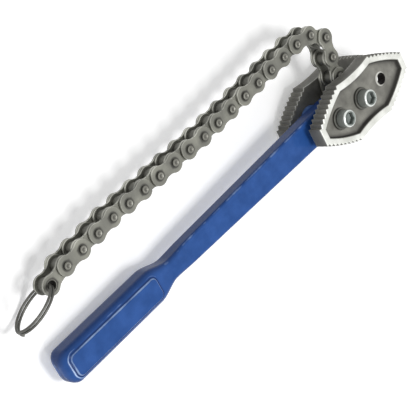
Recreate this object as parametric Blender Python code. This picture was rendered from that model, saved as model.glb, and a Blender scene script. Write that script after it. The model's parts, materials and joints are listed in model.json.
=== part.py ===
"""Chain pipe wrench: a forged handle, two reversible toothed jaws bolted on either side of its head,
and a riveted link chain that swings from the handle's front boss and ends in a split ring.

Metres. X runs along the handle towards the head, Z along every bolt and chain pin. The pieces are drawn
about the front bolt, in the mid plane of the handle, and the whole tool is then lifted so that the
middle of its underside is the origin.
"""

from math import acos, atan2, cos, hypot, pi, radians, sin, sqrt

import bmesh
import bpy
from mathutils import Matrix, Vector

# Fits
SEAT_GAP = 0.0003  # between faces that touch
RUNNING_GAP = 0.00035  # round a pin or a boss that turns

# Chain
CHAIN_PITCH = 0.015875
LINK_COUNT = 22
ANCHOR_LENGTH = 0.020
PLATE_THICKNESS = 0.0020
PLATE_RADIUS = 0.0070
PLATE_WAIST = 0.0049
INNER_WIDTH = 0.0076  # between the two plates of an inner link
BUSH_RADIUS = 0.0050
PIN_RADIUS = 0.00275
PIN_PROUD = 0.0017  # rivet head beyond the outer plate
RIVET_SHOULDER = 0.0005

# How the chain lies: the anchor link's heading, then the turn at each pin that isn't straight
ANCHOR_HEADING = radians(88.5)
TURN_AT_PIN = {1: -3.0, 2: -5.0, 3: 62.0, 4: 31.0, 5: 8.8, 12: -3.1, 18: 4.8, 21: 11.0}

# Split ring
RING_RADIUS = 0.0182
RING_WIRE = 0.0018
RING_COILS = 2
END_BORE_RADIUS = 0.0034  # the last bush, which has no pin, is bored out for the ring
RING_LEAN = radians(10.0)  # its top leans away from the handle
RING_TURN = radians(6.6)  # beyond the heading of the last link

# Bolts, washers and nuts
BOLT_RADIUS = 0.0040
BOLT_LENGTH = 0.050
BOLT_SPACING = 0.027
BOLT_HOLE_RADIUS = 0.0045
SCREW_HEAD_RADIUS = 0.0065
SCREW_HEAD_HEIGHT = 0.0080
SCREW_CHAMFER = 0.0008
SOCKET_FLATS = 0.0080
SOCKET_DEPTH = 0.0042
WASHER_RADIUS = 0.0080
WASHER_THICKNESS = 0.0016
NUT_FLATS = 0.0130
NUT_HEIGHT = 0.0065
NUT_CHAMFER = 0.0007

# Jaws
JAW_HALF_LENGTH = 0.0525
JAW_HALF_WIDTH = 0.0240
JAW_END_HALF_WIDTH = 0.0072
JAW_WAIST_HALF_LENGTH = 0.0200
JAW_THICKNESS = 0.0120
JAW_GAP = 0.0226
JAW_BULGE = 0.0011  # of each toothed flank
JAW_HOLLOW = 0.0017  # of the waist between the flanks
JAW_RIM = 0.0058
JAW_RECESS = 0.0040
TOOTH_PITCH = 0.0042
TOOTH_DEPTH = 0.0017

# Handle
SHANK_LENGTH = 0.159  # rear bolt to the foot of the neck
NECK_LENGTH = 0.022
SHOULDER_LENGTH = 0.021
GRIP_LENGTH = 0.0885
GRIP_WIDTH = 0.0254
GRIP_THICKNESS = 0.0198
GRIP_CORNER = 0.0062
BUTT_ROUND = 0.0080
NECK_WIDTH = 0.0154
NECK_THICKNESS = 0.0150
NECK_CORNER = 0.0035
SHANK_WIDTH = 0.0176
SHANK_THICKNESS = 0.0120
SHANK_CORNER = 0.0022
HEAD_WIDTH = 0.0240
EYE_RADIUS = 0.0115
FRONT_BOSS_RADIUS = 0.0070
REAR_BOSS_RADIUS = 0.0112
ANCHOR_EYE_WALL = 0.0035
PANEL_MARGIN = 0.0042
PANEL_END_MARGIN = 0.0056
PANEL_PAST_SHOULDER = 0.0025
PANEL_RAISE = 0.0009
PANEL_CORNER = 0.0040
PANEL_CHAMFER = 0.0005
PANEL_ROOT = 0.0030

# Facets
ROUND_SIDES = 24
PIN_SIDES = 10
BUSH_SIDES = 12
WIRE_SIDES = 6
COIL_STEPS = 32
PLATE_END_STEPS = 6
PLATE_FLANK_STEPS = 3
ANCHOR_END_STEPS = 9
POCKET_FLANK_STEPS = 4
JAW_WAIST_STEPS = 6
CORNER_STEPS = 4
BUTT_TURNS = (0, 24, 47, 69)  # degrees round the butt's rounding
NOSE_TURNS = (-60, -30, 0, 20, 38, 54, 68, 80)  # degrees round the eye, from its waist to its nose
GRIP_SECTIONS = 3
SHOULDER_SECTIONS = 7
NECK_SECTIONS = 5
SHANK_SECTIONS = 3
HEAD_SECTIONS = 4
LARGEST_CORNER = 0.95  # of half a section's width or thickness
SHARP_EDGE = radians(35)
SHARP_WIRE_EDGE = radians(70)

# How far behind the front bolt each stretch of the handle ends
SHANK_REACH = BOLT_SPACING + SHANK_LENGTH
NECK_REACH = SHANK_REACH + NECK_LENGTH
SHOULDER_REACH = NECK_REACH + SHOULDER_LENGTH
HANDLE_REACH = SHOULDER_REACH + GRIP_LENGTH

# Heights of the chain's plates and of the jaws above the mid plane
INNER_PLATE_TOP = INNER_WIDTH / 2 + PLATE_THICKNESS
OUTER_PLATE_FOOT = INNER_PLATE_TOP + SEAT_GAP
OUTER_PLATE_TOP = OUTER_PLATE_FOOT + PLATE_THICKNESS
PIN_END = OUTER_PLATE_TOP + PIN_PROUD
BORE_RADIUS = PIN_RADIUS + RUNNING_GAP
TONGUE_HALF_THICKNESS = OUTER_PLATE_FOOT - SEAT_GAP
JAW_FOOT = JAW_GAP / 2
BOSS_HALF_HEIGHT = JAW_FOOT - SEAT_GAP
RECESS_FLOOR = JAW_FOOT + JAW_THICKNESS - JAW_RECESS
WASHER_FOOT = RECESS_FLOOR + SEAT_GAP
FASTENER_SEAT = WASHER_FOOT + WASHER_THICKNESS + SEAT_GAP
WASHER_BORE = BOLT_RADIUS + SEAT_GAP


def clear_scene():
    """Start from an empty scene."""
    for item in list(bpy.data.objects):
        bpy.data.objects.remove(item, do_unlink=True)


def finish(name, colour, roughness, metallic):
    """A plain finish for one kind of piece."""
    material = bpy.data.materials.new(name)
    material.use_nodes = True
    shader = material.node_tree.nodes["Principled BSDF"]
    shader.inputs["Base Color"].default_value = (*colour, 1.0)
    shader.inputs["Roughness"].default_value = roughness
    shader.inputs["Metallic"].default_value = metallic
    return material


def add_piece(name, mesh, material, parent, smooth_angle=SHARP_EDGE):
    """Put a mesh into the scene as a named piece."""
    piece = bpy.data.objects.new(name, mesh)
    bpy.context.scene.collection.objects.link(piece)
    piece.parent = parent
    if not mesh.materials:
        mesh.materials.append(material)
        mesh.shade_smooth()
        mesh.set_sharp_from_angle(angle=smooth_angle)
    return piece


def skin(name, sections):
    """A closed solid through a row of sections with equal numbers of points, capped at both ends."""
    shape = bmesh.new()
    rings = [[shape.verts.new(point) for point in section] for section in sections]
    for near, far in zip(rings, rings[1:]):
        for index in range(len(near)):
            after = (index + 1) % len(near)
            shape.faces.new((near[index], near[after], far[after], far[index]))
    shape.faces.new(reversed(rings[0]))
    shape.faces.new(rings[-1])
    bmesh.ops.recalc_face_normals(shape, faces=shape.faces)
    mesh = bpy.data.meshes.new(name)
    shape.to_mesh(mesh)
    shape.free()
    return mesh


def circle(radius, height, sides, centre=(0.0, 0.0)):
    """A level ring of points. Half a step of turn puts flats, not corners, on the axes."""
    turns = [(index + 0.5) * 2 * pi / sides for index in range(sides)]
    return [Vector((centre[0] + radius * cos(t), centre[1] + radius * sin(t), height)) for t in turns]


def turned(name, profile, sides, centre=(0.0, 0.0)):
    """A solid turned about a vertical axis from (radius, height) pairs, bottom to top."""
    return skin(name, [circle(radius, height, sides, centre) for radius, height in profile])


def prism(name, outline, foot, top):
    """An outline pulled straight up between two heights."""
    return skin(name, [[Vector((x, y, height)) for x, y in outline] for height in (foot, top)])


def combine(mesh, operation, tools):
    """The mesh after a Boolean with each tool in turn."""
    piece = bpy.data.objects.new("work", mesh)
    bpy.context.scene.collection.objects.link(piece)
    helpers = []
    for tool in tools:
        helper = bpy.data.objects.new("tool", tool)
        bpy.context.scene.collection.objects.link(helper)
        helper.hide_render = True
        helper.display_type = "WIRE"
        modifier = piece.modifiers.new("boolean", "BOOLEAN")
        modifier.operation = operation
        modifier.solver = "EXACT"
        modifier.object = helper
        helpers.append(helper)
    graph = bpy.context.evaluated_depsgraph_get()
    result = bpy.data.meshes.new_from_object(piece.evaluated_get(graph))
    result.name = mesh.name
    for item in [piece, *helpers]:
        bpy.data.objects.remove(item, do_unlink=True)
    return result


def arc(centre, radius, start, end, steps):
    """Points along a level arc, both ends included."""
    turns = [start + (end - start) * index / steps for index in range(steps + 1)]
    return [(centre[0] + radius * cos(turn), centre[1] + radius * sin(turn)) for turn in turns]


# Chain links


def plate_outline():
    """Two round ends joined by hollow flanks, as a chain plate is stamped."""
    half = CHAIN_PITCH / 2
    flank_radius = (half**2 + PLATE_WAIST**2 - PLATE_RADIUS**2) / (2 * (PLATE_RADIUS - PLATE_WAIST))
    flank_height = PLATE_WAIST + flank_radius
    meeting = atan2(flank_height, half)
    far_end = arc((CHAIN_PITCH, 0.0), PLATE_RADIUS, -(pi - meeting), pi - meeting, PLATE_END_STEPS)
    near_end = arc((0.0, 0.0), PLATE_RADIUS, meeting, 2 * pi - meeting, PLATE_END_STEPS)
    sweep = pi / 2 - meeting
    upper = arc((half, flank_height), flank_radius, -pi / 2 + sweep, -pi / 2 - sweep, PLATE_FLANK_STEPS)
    lower = arc((half, -flank_height), flank_radius, pi / 2 + sweep, pi / 2 - sweep, PLATE_FLANK_STEPS)
    return far_end + upper[1:-1] + near_end + lower[1:-1]


def mirrored_plates(name, outline, foot, top):
    """The upper and the lower plate of a link."""
    return [prism(name, outline, foot, top), prism(name, outline, -top, -foot)]


def pin(at):
    """A riveted pin, right through the link, with its shoulders knocked down at both ends."""
    profile = [
        (PIN_RADIUS - RIVET_SHOULDER, -PIN_END),
        (PIN_RADIUS, -PIN_END + RIVET_SHOULDER),
        (PIN_RADIUS, PIN_END - RIVET_SHOULDER),
        (PIN_RADIUS - RIVET_SHOULDER, PIN_END),
    ]
    return turned("pin", profile, PIN_SIDES, (at, 0.0))


def cylinder(radius, half_height, sides, at=0.0):
    """An upright cylinder about the mid plane, centred on the chain's line."""
    return turned("cylinder", [(radius, -half_height), (radius, half_height)], sides, (at, 0.0))


def inner_link(far_bore=BORE_RADIUS):
    """Two plates pressed onto two bushes, bored for the pins of the links on either side."""
    upper, lower = mirrored_plates("inner_link", plate_outline(), INNER_WIDTH / 2, INNER_PLATE_TOP)
    middle = INNER_WIDTH / 2 + PLATE_THICKNESS / 2
    bushes = [cylinder(BUSH_RADIUS, middle, BUSH_SIDES, at) for at in (0.0, CHAIN_PITCH)]
    reach = INNER_PLATE_TOP + PLATE_THICKNESS
    bores = [
        cylinder(BORE_RADIUS, reach, BUSH_SIDES),
        cylinder(far_bore, reach, BUSH_SIDES, CHAIN_PITCH),
    ]
    return combine(combine(upper, "UNION", [lower, *bushes]), "DIFFERENCE", bores)


def outer_link():
    """Two plates riveted on two pins."""
    upper, lower = mirrored_plates("outer_link", plate_outline(), OUTER_PLATE_FOOT, OUTER_PLATE_TOP)
    return combine(upper, "UNION", [lower, pin(0.0), pin(CHAIN_PITCH)])


def eye_outline(eye_radius):
    """A large eye and a small end, one anchor length apart, joined by straight tangents."""
    tangent = acos((eye_radius - PLATE_RADIUS) / ANCHOR_LENGTH)
    small = arc((ANCHOR_LENGTH, 0.0), PLATE_RADIUS, -tangent, tangent, ANCHOR_END_STEPS)
    large = arc((0.0, 0.0), eye_radius, tangent, 2 * pi - tangent, 2 * ANCHOR_END_STEPS)
    return small + large


def anchor_link():
    """Two eye plates that swing on the handle's front bosses, riveted to the chain's first pin."""
    eye_bore = FRONT_BOSS_RADIUS + RUNNING_GAP
    outline = eye_outline(eye_bore + ANCHOR_EYE_WALL)
    plates = mirrored_plates("anchor_link", outline, OUTER_PLATE_FOOT, OUTER_PLATE_TOP)
    reach = OUTER_PLATE_TOP + PLATE_THICKNESS
    bores = [cylinder(eye_bore, reach, ROUND_SIDES) for plate in plates]
    upper, lower = [combine(plate, "DIFFERENCE", [bore]) for plate, bore in zip(plates, bores)]
    return combine(upper, "UNION", [lower, pin(ANCHOR_LENGTH)])


def build_chain(tool, inner_steel, outer_steel):
    """The links, each one hung on the pin of the link before it."""
    inner, outer, last = inner_link(), outer_link(), inner_link(END_BORE_RADIUS)
    carrier = add_piece("anchor_link", anchor_link(), outer_steel, tool)
    carrier.rotation_euler.z = ANCHOR_HEADING
    for number in range(2, LINK_COUNT + 1):
        is_outer = number % 2 == 1
        mesh = last if number == LINK_COUNT else outer if is_outer else inner
        link = add_piece(f"link_{number:02d}", mesh, outer_steel if is_outer else inner_steel, carrier)
        link.location.x = ANCHOR_LENGTH if number == 2 else CHAIN_PITCH
        link.rotation_euler.z = radians(TURN_AT_PIN.get(number - 1, 0.0))
        carrier = link
    return carrier


def split_ring_mesh():
    """Coils of wire that pass upright through the bush at their own origin, their ends on the far side."""
    rise = RING_WIRE + SEAT_GAP
    sideways = Vector((0.0, 1.0, 0.0))
    # the ring curves inside the bush, so it is moved back by half that curve to sit in the middle of the bore
    sag = RING_RADIUS - sqrt(RING_RADIUS**2 - INNER_PLATE_TOP**2)
    middle = Vector((RING_RADIUS - sag / 2, 0.0, 0.0))
    spins = [2 * pi * side / WIRE_SIDES for side in range(WIRE_SIDES)]
    sections = []
    for step in range(RING_COILS * COIL_STEPS + 1):
        turns = step / COIL_STEPS
        outward = Vector((cos(2 * pi * turns), 0.0, sin(2 * pi * turns)))
        centre = middle + RING_RADIUS * outward + rise * (turns - RING_COILS / 2) * sideways
        sections.append([centre + RING_WIRE / 2 * (cos(s) * outward + sin(s) * sideways) for s in spins])
    return skin("split_ring", sections)


def build_ring(last_link, material):
    """The split ring, leaning a little in the bush as it lies."""
    ring = add_piece("split_ring", split_ring_mesh(), material, last_link, SHARP_WIRE_EDGE)
    ring.location.x = CHAIN_PITCH
    ring.rotation_euler.z = RING_TURN
    ring.data.transform(Matrix.Rotation(RING_LEAN, 4, "X"))
    return ring


# Jaws


def bowed_edge(start, end, steps, bow, depth=0.0):
    """Points along an edge bowed outwards. Every second one is set in by depth, as tooth roots are."""
    along = end - start
    outward = Vector((along.y, -along.x)).normalized()
    points = []
    for index in range(steps + 1):
        share = index / steps
        rise = 4 * bow * share * (1 - share) - (depth if index % 2 else 0.0)
        points.append(start + along * share + outward * rise)
    return points


def jaw_outline(depth, steps):
    """Outline of a jaw: blunt ends, bulged flanks in all four quarters and a hollow waist between them."""
    end = Vector((JAW_HALF_LENGTH, JAW_END_HALF_WIDTH))
    shoulder = Vector((JAW_WAIST_HALF_LENGTH, JAW_HALF_WIDTH))
    flank = bowed_edge(end, shoulder, steps, JAW_BULGE, depth)
    waist = bowed_edge(shoulder, Vector((-shoulder.x, shoulder.y)), JAW_WAIST_STEPS, -JAW_HOLLOW)
    upper = flank + waist[1:-1] + [Vector((-point.x, point.y)) for point in reversed(flank)]
    return upper + [-point for point in upper]


def inset(outline, distance):
    """An outline without sharp hollows, moved inwards by a distance, edge by edge."""
    moved = []
    for index, here in enumerate(outline):
        before = (here - outline[index - 1]).normalized()
        after = (outline[(index + 1) % len(outline)] - here).normalized()
        inward = Vector((-before.y - after.y, before.x + after.x)).normalized()
        moved.append(here + inward * distance / inward.dot(Vector((-before.y, before.x))))
    return moved


def jaw_mesh():
    """A jaw lying on its flat inner face: teeth on four flanks, a recessed face and three bolt holes."""
    flank = hypot(JAW_HALF_LENGTH - JAW_WAIST_HALF_LENGTH, JAW_HALF_WIDTH - JAW_END_HALF_WIDTH)
    teeth = max(2, round(flank / TOOTH_PITCH))
    blank = prism("jaw", jaw_outline(TOOTH_DEPTH, 2 * teeth), 0.0, JAW_THICKNESS)
    pocket = inset(jaw_outline(0.0, POCKET_FLANK_STEPS), JAW_RIM)
    tools = [prism("pocket", pocket, JAW_THICKNESS - JAW_RECESS, JAW_THICKNESS + JAW_RECESS)]
    for number in (-1, 0, 1):
        profile = [(BOLT_HOLE_RADIUS, -JAW_RECESS), (BOLT_HOLE_RADIUS, JAW_THICKNESS + JAW_RECESS)]
        tools.append(turned("hole", profile, ROUND_SIDES, (number * BOLT_SPACING, 0.0)))
    return combine(blank, "DIFFERENCE", tools)


def build_jaws(tool, material):
    """One jaw on each side of the handle's head, the lower one turned over."""
    mesh = jaw_mesh()
    upper = add_piece("upper_jaw", mesh, material, tool)
    upper.location.z = JAW_FOOT
    lower = add_piece("lower_jaw", mesh, material, tool)
    lower.location.z = -JAW_FOOT
    lower.rotation_euler.x = pi


# Handle


def smooth(share):
    """An S-shaped blend from 0 to 1."""
    share = min(1.0, max(0.0, share))
    return share * share * (3 - 2 * share)


def handle_size(reach):
    """Half width, half thickness and corner radius of the handle at a distance behind the front bolt."""
    to_neck = smooth((SHOULDER_REACH - reach) / (SHOULDER_REACH - NECK_REACH))
    to_shank = smooth((NECK_REACH - reach) / (NECK_REACH - SHANK_REACH))
    to_head = min(1.0, max(0.0, (SHANK_REACH - reach) / (SHANK_REACH - BOLT_SPACING)))
    to_tongue = smooth((BOLT_SPACING + REAR_BOSS_RADIUS - reach) / (2 * REAR_BOSS_RADIUS))
    width = GRIP_WIDTH + (NECK_WIDTH - GRIP_WIDTH) * to_neck
    width += (SHANK_WIDTH - NECK_WIDTH) * to_shank
    width += (HEAD_WIDTH - SHANK_WIDTH) * to_head
    width += (2 * EYE_RADIUS - HEAD_WIDTH) * to_tongue
    thickness = GRIP_THICKNESS + (NECK_THICKNESS - GRIP_THICKNESS) * to_neck
    thickness += (SHANK_THICKNESS - NECK_THICKNESS) * to_shank
    thickness += (2 * TONGUE_HALF_THICKNESS - SHANK_THICKNESS) * to_tongue
    corner = GRIP_CORNER + (NECK_CORNER - GRIP_CORNER) * to_neck + (SHANK_CORNER - NECK_CORNER) * to_shank
    return width / 2, thickness / 2, corner


def rounded_section(x, half_width, half_thickness, corner):
    """An upright rounded rectangle across the handle."""
    corner = min(corner, LARGEST_CORNER * half_width, LARGEST_CORNER * half_thickness)
    points = []
    for quarter, (side, level) in enumerate(((1, 1), (-1, 1), (-1, -1), (1, -1))):
        middle = (side * (half_width - corner), level * (half_thickness - corner))
        start = quarter * pi / 2
        points += [Vector((x, y, z)) for y, z in arc(middle, corner, start, start + pi / 2, CORNER_STEPS)]
    return points


def handle_sections():
    """Sections from the rounded butt to the round nose of the eye."""
    half_width, half_thickness, corner = handle_size(HANDLE_REACH)
    sections = []
    for turn in map(radians, BUTT_TURNS):
        pulled_in = BUTT_ROUND * (1 - sin(turn))
        x = -HANDLE_REACH + BUTT_ROUND * (1 - cos(turn))
        size = (half_width - pulled_in, half_thickness - pulled_in, corner - pulled_in / 2)
        sections.append(rounded_section(x, *size))
    stretches = (
        (HANDLE_REACH - BUTT_ROUND, SHOULDER_REACH, GRIP_SECTIONS),
        (SHOULDER_REACH, NECK_REACH, SHOULDER_SECTIONS),
        (NECK_REACH, SHANK_REACH, NECK_SECTIONS),
        (SHANK_REACH, BOLT_SPACING + REAR_BOSS_RADIUS, SHANK_SECTIONS),
        (BOLT_SPACING + REAR_BOSS_RADIUS, BOLT_SPACING - REAR_BOSS_RADIUS, HEAD_SECTIONS),
    )
    for start, end, count in stretches:
        for index in range(count):
            reach = start + (end - start) * index / count
            sections.append(rounded_section(-reach, *handle_size(reach)))
    for turn in map(radians, NOSE_TURNS):
        reach = -EYE_RADIUS * sin(turn)
        half_width, half_thickness, corner = handle_size(max(reach, 0.0))
        width = EYE_RADIUS * cos(turn) if turn > 0 else half_width
        sections.append(rounded_section(-reach, width, half_thickness, corner))
    return sections


def panel_outline():
    """Rounded outline of the raised panel on the grip, a margin inside the grip's own outline."""
    back = -HANDLE_REACH + PANEL_END_MARGIN
    front = PANEL_PAST_SHOULDER - SHOULDER_REACH
    half = GRIP_WIDTH / 2 - PANEL_MARGIN
    corners = ((front, half, 0), (back, half, 1), (back, -half, 2), (front, -half, 3))
    outline = []
    for x, y, quarter in corners:
        centre = (x + PANEL_CORNER * (1 if x == back else -1), y - PANEL_CORNER * (1 if y > 0 else -1))
        outline += arc(centre, PANEL_CORNER, quarter * pi / 2, (quarter + 1) * pi / 2, CORNER_STEPS)
    return [Vector(point) for point in outline]


def panel(level):
    """The raised panel on one side of the grip, with a chamfered edge."""
    outline = panel_outline()
    top = GRIP_THICKNESS / 2 + PANEL_RAISE
    heights = ((0.0, top - PANEL_ROOT), (0.0, top - PANEL_CHAMFER), (PANEL_CHAMFER, top))
    rings = [[Vector((p.x, p.y, level * z)) for p in inset(outline, step)] for step, z in heights]
    return skin("panel", rings)


def build_handle(tool, material):
    """The forged handle: its bar, a panel on each side of the grip and two bosses that carry the jaws."""
    bosses = [
        cylinder(FRONT_BOSS_RADIUS, BOSS_HALF_HEIGHT, ROUND_SIDES),
        cylinder(REAR_BOSS_RADIUS, BOSS_HALF_HEIGHT, ROUND_SIDES, -BOLT_SPACING),
    ]
    forging = combine(skin("handle", handle_sections()), "UNION", [panel(1), panel(-1), *bosses])
    reach = 2 * BOSS_HALF_HEIGHT
    holes = [cylinder(BOLT_HOLE_RADIUS, reach, ROUND_SIDES, at) for at in (0.0, -BOLT_SPACING)]
    add_piece("handle", combine(forging, "DIFFERENCE", holes), material, tool)


# Fasteners


def hexagon(flats):
    """A hexagon's corners, from the distance across its flats."""
    return [Vector((x, y)) for x, y in arc((0.0, 0.0), flats / sqrt(3), 0.0, 2 * pi * 5 / 6, 5)]


def cap_screw_mesh():
    """A socket cap screw hanging from the foot of its head, which lies at height 0."""
    profile = [
        (BOLT_RADIUS - SCREW_CHAMFER, -BOLT_LENGTH),
        (BOLT_RADIUS, -BOLT_LENGTH + SCREW_CHAMFER),
        (BOLT_RADIUS, 0.0),
        (SCREW_HEAD_RADIUS, 0.0),
        (SCREW_HEAD_RADIUS, SCREW_HEAD_HEIGHT - SCREW_CHAMFER),
        (SCREW_HEAD_RADIUS - SCREW_CHAMFER, SCREW_HEAD_HEIGHT),
    ]
    screw = turned("cap_screw", profile, ROUND_SIDES)
    socket = prism("socket", hexagon(SOCKET_FLATS), SCREW_HEAD_HEIGHT - SOCKET_DEPTH, 2 * SCREW_HEAD_HEIGHT)
    return combine(screw, "DIFFERENCE", [socket])


def bored(blank, bore_radius, height):
    """A blank that stands on height 0, with a bore through it."""
    bore = turned("bore", [(bore_radius, -height), (bore_radius, 2 * height)], ROUND_SIDES)
    return combine(blank, "DIFFERENCE", [bore])


def washer_mesh():
    """A flat washer on height 0."""
    blank = turned("washer", [(WASHER_RADIUS, 0.0), (WASHER_RADIUS, WASHER_THICKNESS)], ROUND_SIDES)
    return bored(blank, WASHER_BORE, WASHER_THICKNESS)


def nut_mesh():
    """A hexagon nut on height 0, its outer corners chamfered."""
    bar = prism("hex_nut", hexagon(NUT_FLATS), 0.0, NUT_HEIGHT)
    corner = NUT_FLATS / sqrt(3)
    cone = [(corner, -NUT_HEIGHT), (corner, NUT_HEIGHT - NUT_CHAMFER), (NUT_FLATS / 2, NUT_HEIGHT + SEAT_GAP)]
    blank = combine(bar, "INTERSECT", [turned("cone", cone, ROUND_SIDES)])
    return bored(blank, WASHER_BORE, NUT_HEIGHT)


def build_fasteners(tool, screw_steel, washer_steel):
    """Two cap screws through both jaws and the handle, washers under head and nut."""
    screw, washer, nut = cap_screw_mesh(), washer_mesh(), nut_mesh()
    for place, x in (("front", 0.0), ("rear", -BOLT_SPACING)):
        head = add_piece(f"{place}_cap_screw", screw, screw_steel, tool)
        head.location = (x, 0.0, FASTENER_SEAT)
        upper = add_piece(f"{place}_head_washer", washer, washer_steel, tool)
        upper.location = (x, 0.0, WASHER_FOOT)
        lower = add_piece(f"{place}_nut_washer", washer, washer_steel, tool)
        lower.location = (x, 0.0, -WASHER_FOOT)
        lower.rotation_euler.x = pi
        tightened = add_piece(f"{place}_nut", nut, screw_steel, tool)
        tightened.location = (x, 0.0, -FASTENER_SEAT)
        tightened.rotation_euler.x = pi


def stand_on_underside(tool):
    """Lift and centre the tool, so that the origin is the middle of its underside."""
    bpy.context.view_layer.update()
    corners = [
        piece.matrix_world @ vertex.co
        for piece in bpy.data.objects
        if piece.type == "MESH"
        for vertex in piece.data.vertices
    ]
    lowest = [min(corner[axis] for corner in corners) for axis in range(3)]
    highest = [max(corner[axis] for corner in corners) for axis in range(3)]
    tool.location = (-(lowest[0] + highest[0]) / 2, -(lowest[1] + highest[1]) / 2, -lowest[2])


def main():
    """Build the whole tool from its finishes up."""
    clear_scene()
    blue = finish("blue_enamel", (0.045, 0.105, 0.36), 0.35, 0.0)
    jaw_steel = finish("jaw_steel", (0.33, 0.33, 0.31), 0.45, 0.9)
    link_steel = finish("link_steel", (0.20, 0.20, 0.18), 0.5, 0.9)
    plate_steel = finish("plate_steel", (0.24, 0.24, 0.21), 0.5, 0.9)
    screw_steel = finish("screw_steel", (0.42, 0.43, 0.42), 0.35, 0.9)
    black_steel = finish("black_steel", (0.05, 0.05, 0.05), 0.5, 0.8)
    tool = bpy.data.objects.new("chain_pipe_wrench", None)
    bpy.context.scene.collection.objects.link(tool)
    build_handle(tool, blue)
    build_jaws(tool, jaw_steel)
    build_fasteners(tool, screw_steel, black_steel)
    last_link = build_chain(tool, link_steel, plate_steel)
    build_ring(last_link, black_steel)
    stand_on_underside(tool)


main()
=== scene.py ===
# %% [markdown]
# # A chain pipe wrench, dressed for its picture
#
# The wrench grips a pipe between two toothed jaws and a chain that is drawn round the pipe. This lesson
# takes the plain working model, which already has every piece on its right hinge, and gives each piece the
# finer shape and the finish of the real one. Each new surface is worked out as a whole array of points with
# numpy, and each finish is a material made of nodes.

# %% Load the working model
import json
from math import cos, pi, radians, sin

import bpy
import numpy as np
from mathutils import Matrix, Vector

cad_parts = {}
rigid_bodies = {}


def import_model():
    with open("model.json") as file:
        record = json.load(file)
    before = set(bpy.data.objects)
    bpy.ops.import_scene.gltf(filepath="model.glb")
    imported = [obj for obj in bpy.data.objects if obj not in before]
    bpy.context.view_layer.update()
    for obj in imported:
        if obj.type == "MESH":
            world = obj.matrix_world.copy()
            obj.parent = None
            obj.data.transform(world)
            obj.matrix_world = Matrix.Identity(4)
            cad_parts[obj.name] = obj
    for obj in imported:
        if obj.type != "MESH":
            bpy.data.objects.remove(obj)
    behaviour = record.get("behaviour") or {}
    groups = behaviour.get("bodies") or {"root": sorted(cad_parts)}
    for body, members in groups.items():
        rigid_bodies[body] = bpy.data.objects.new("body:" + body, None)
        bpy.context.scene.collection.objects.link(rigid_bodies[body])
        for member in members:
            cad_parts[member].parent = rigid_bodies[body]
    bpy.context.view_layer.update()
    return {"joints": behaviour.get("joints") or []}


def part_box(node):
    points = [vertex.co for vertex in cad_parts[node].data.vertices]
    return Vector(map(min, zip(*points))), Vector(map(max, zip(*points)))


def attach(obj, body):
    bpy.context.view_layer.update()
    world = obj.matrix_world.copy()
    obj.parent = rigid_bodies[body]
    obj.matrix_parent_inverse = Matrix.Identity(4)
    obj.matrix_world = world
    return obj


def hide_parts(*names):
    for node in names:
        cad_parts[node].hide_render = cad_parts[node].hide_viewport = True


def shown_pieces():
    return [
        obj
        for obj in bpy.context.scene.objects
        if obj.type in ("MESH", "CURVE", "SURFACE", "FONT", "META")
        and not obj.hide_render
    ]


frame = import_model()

# %% [markdown]
# ## Where everything is
#
# All sizes below are in millimetres, measured from the front bolt at half the thickness of the handle. The
# joints of the working model say where that bolt and every chain pin lie, so nothing has to be placed by
# eye.

# %% Read the pins
MM = 0.001
LINK_COUNT = 22
LINKS = ["anchor_link"] + [f"link_{number:02d}" for number in range(2, LINK_COUNT + 1)]
JOINTS = {joint["child"]: joint for joint in frame["joints"]}
PINS = np.array([JOINTS[name]["pos_m"] for name in [*LINKS, "split_ring"]])
BOLT = PINS[0]
STEPS = np.diff(PINS, axis=0)
HEADINGS = np.arctan2(STEPS[:, 1], STEPS[:, 0])
print("pitches in mm:", np.round(np.linalg.norm(STEPS, axis=1) / MM, 3)[:4])

# %% [markdown]
# ## From arrays to a mesh
#
# Every piece here is made of closed shells. A shell is a grid of points, rows by columns, whose neighbours
# are joined by four-sided faces, and where a grid ends, a fan of triangles closes it. Blender's own
# cylinders and boxes could be bent to these shapes by modifiers, but a grid worked out from a formula can
# also carry numbers for every point, such as how worn it is.

# %% Faces of a grid
def grid_faces(rows, columns, wrap_rows=False):
    """Corner numbers of the faces between neighbours: a point's number is row times columns plus column.

    Columns always close on themselves. Rows do so only when asked.
    """
    first_rows = np.arange(rows if wrap_rows else rows - 1)
    row, column = np.meshgrid(first_rows, np.arange(columns), indexing="ij")
    below = (row + 1) % rows
    beside = (column + 1) % columns
    pairs = [(row, column), (row, beside), (below, beside), (below, column)]
    return np.stack([down * columns + across for down, across in pairs], -1).reshape(-1, 4)


def fan(first, count, hub):
    """Triangles from a loop of numbered points to one hub point, which is written twice."""
    loop = first + np.arange(count)
    return np.stack([loop, np.roll(loop, -1), np.full(count, hub), np.full(count, hub)], -1)


def turned_over(faces):
    """The same faces seen from behind. A triangle keeps its repeated corner at the end."""
    return faces[:, [1, 0, 3, 2]]


print("faces between 3 rings of 8 points:", len(grid_faces(3, 8)))

# %% [markdown]
# ### Which side is out
#
# A mesh has to know its outside. The signed volume of a shell, summed over the little tetrahedra between
# each face and the origin, is negative when the shell is inside out, so one number tells whether to turn it
# over.

# %% Closed shells
def volume(points, faces):
    """Signed volume: a sixth of the sum, over all triangles, of the determinant of their three corners."""
    first, second, third, fourth = (points[faces[:, index]] for index in range(4))
    return (np.cross(second, third) * first + np.cross(third, fourth) * first).sum() / 6


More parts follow.
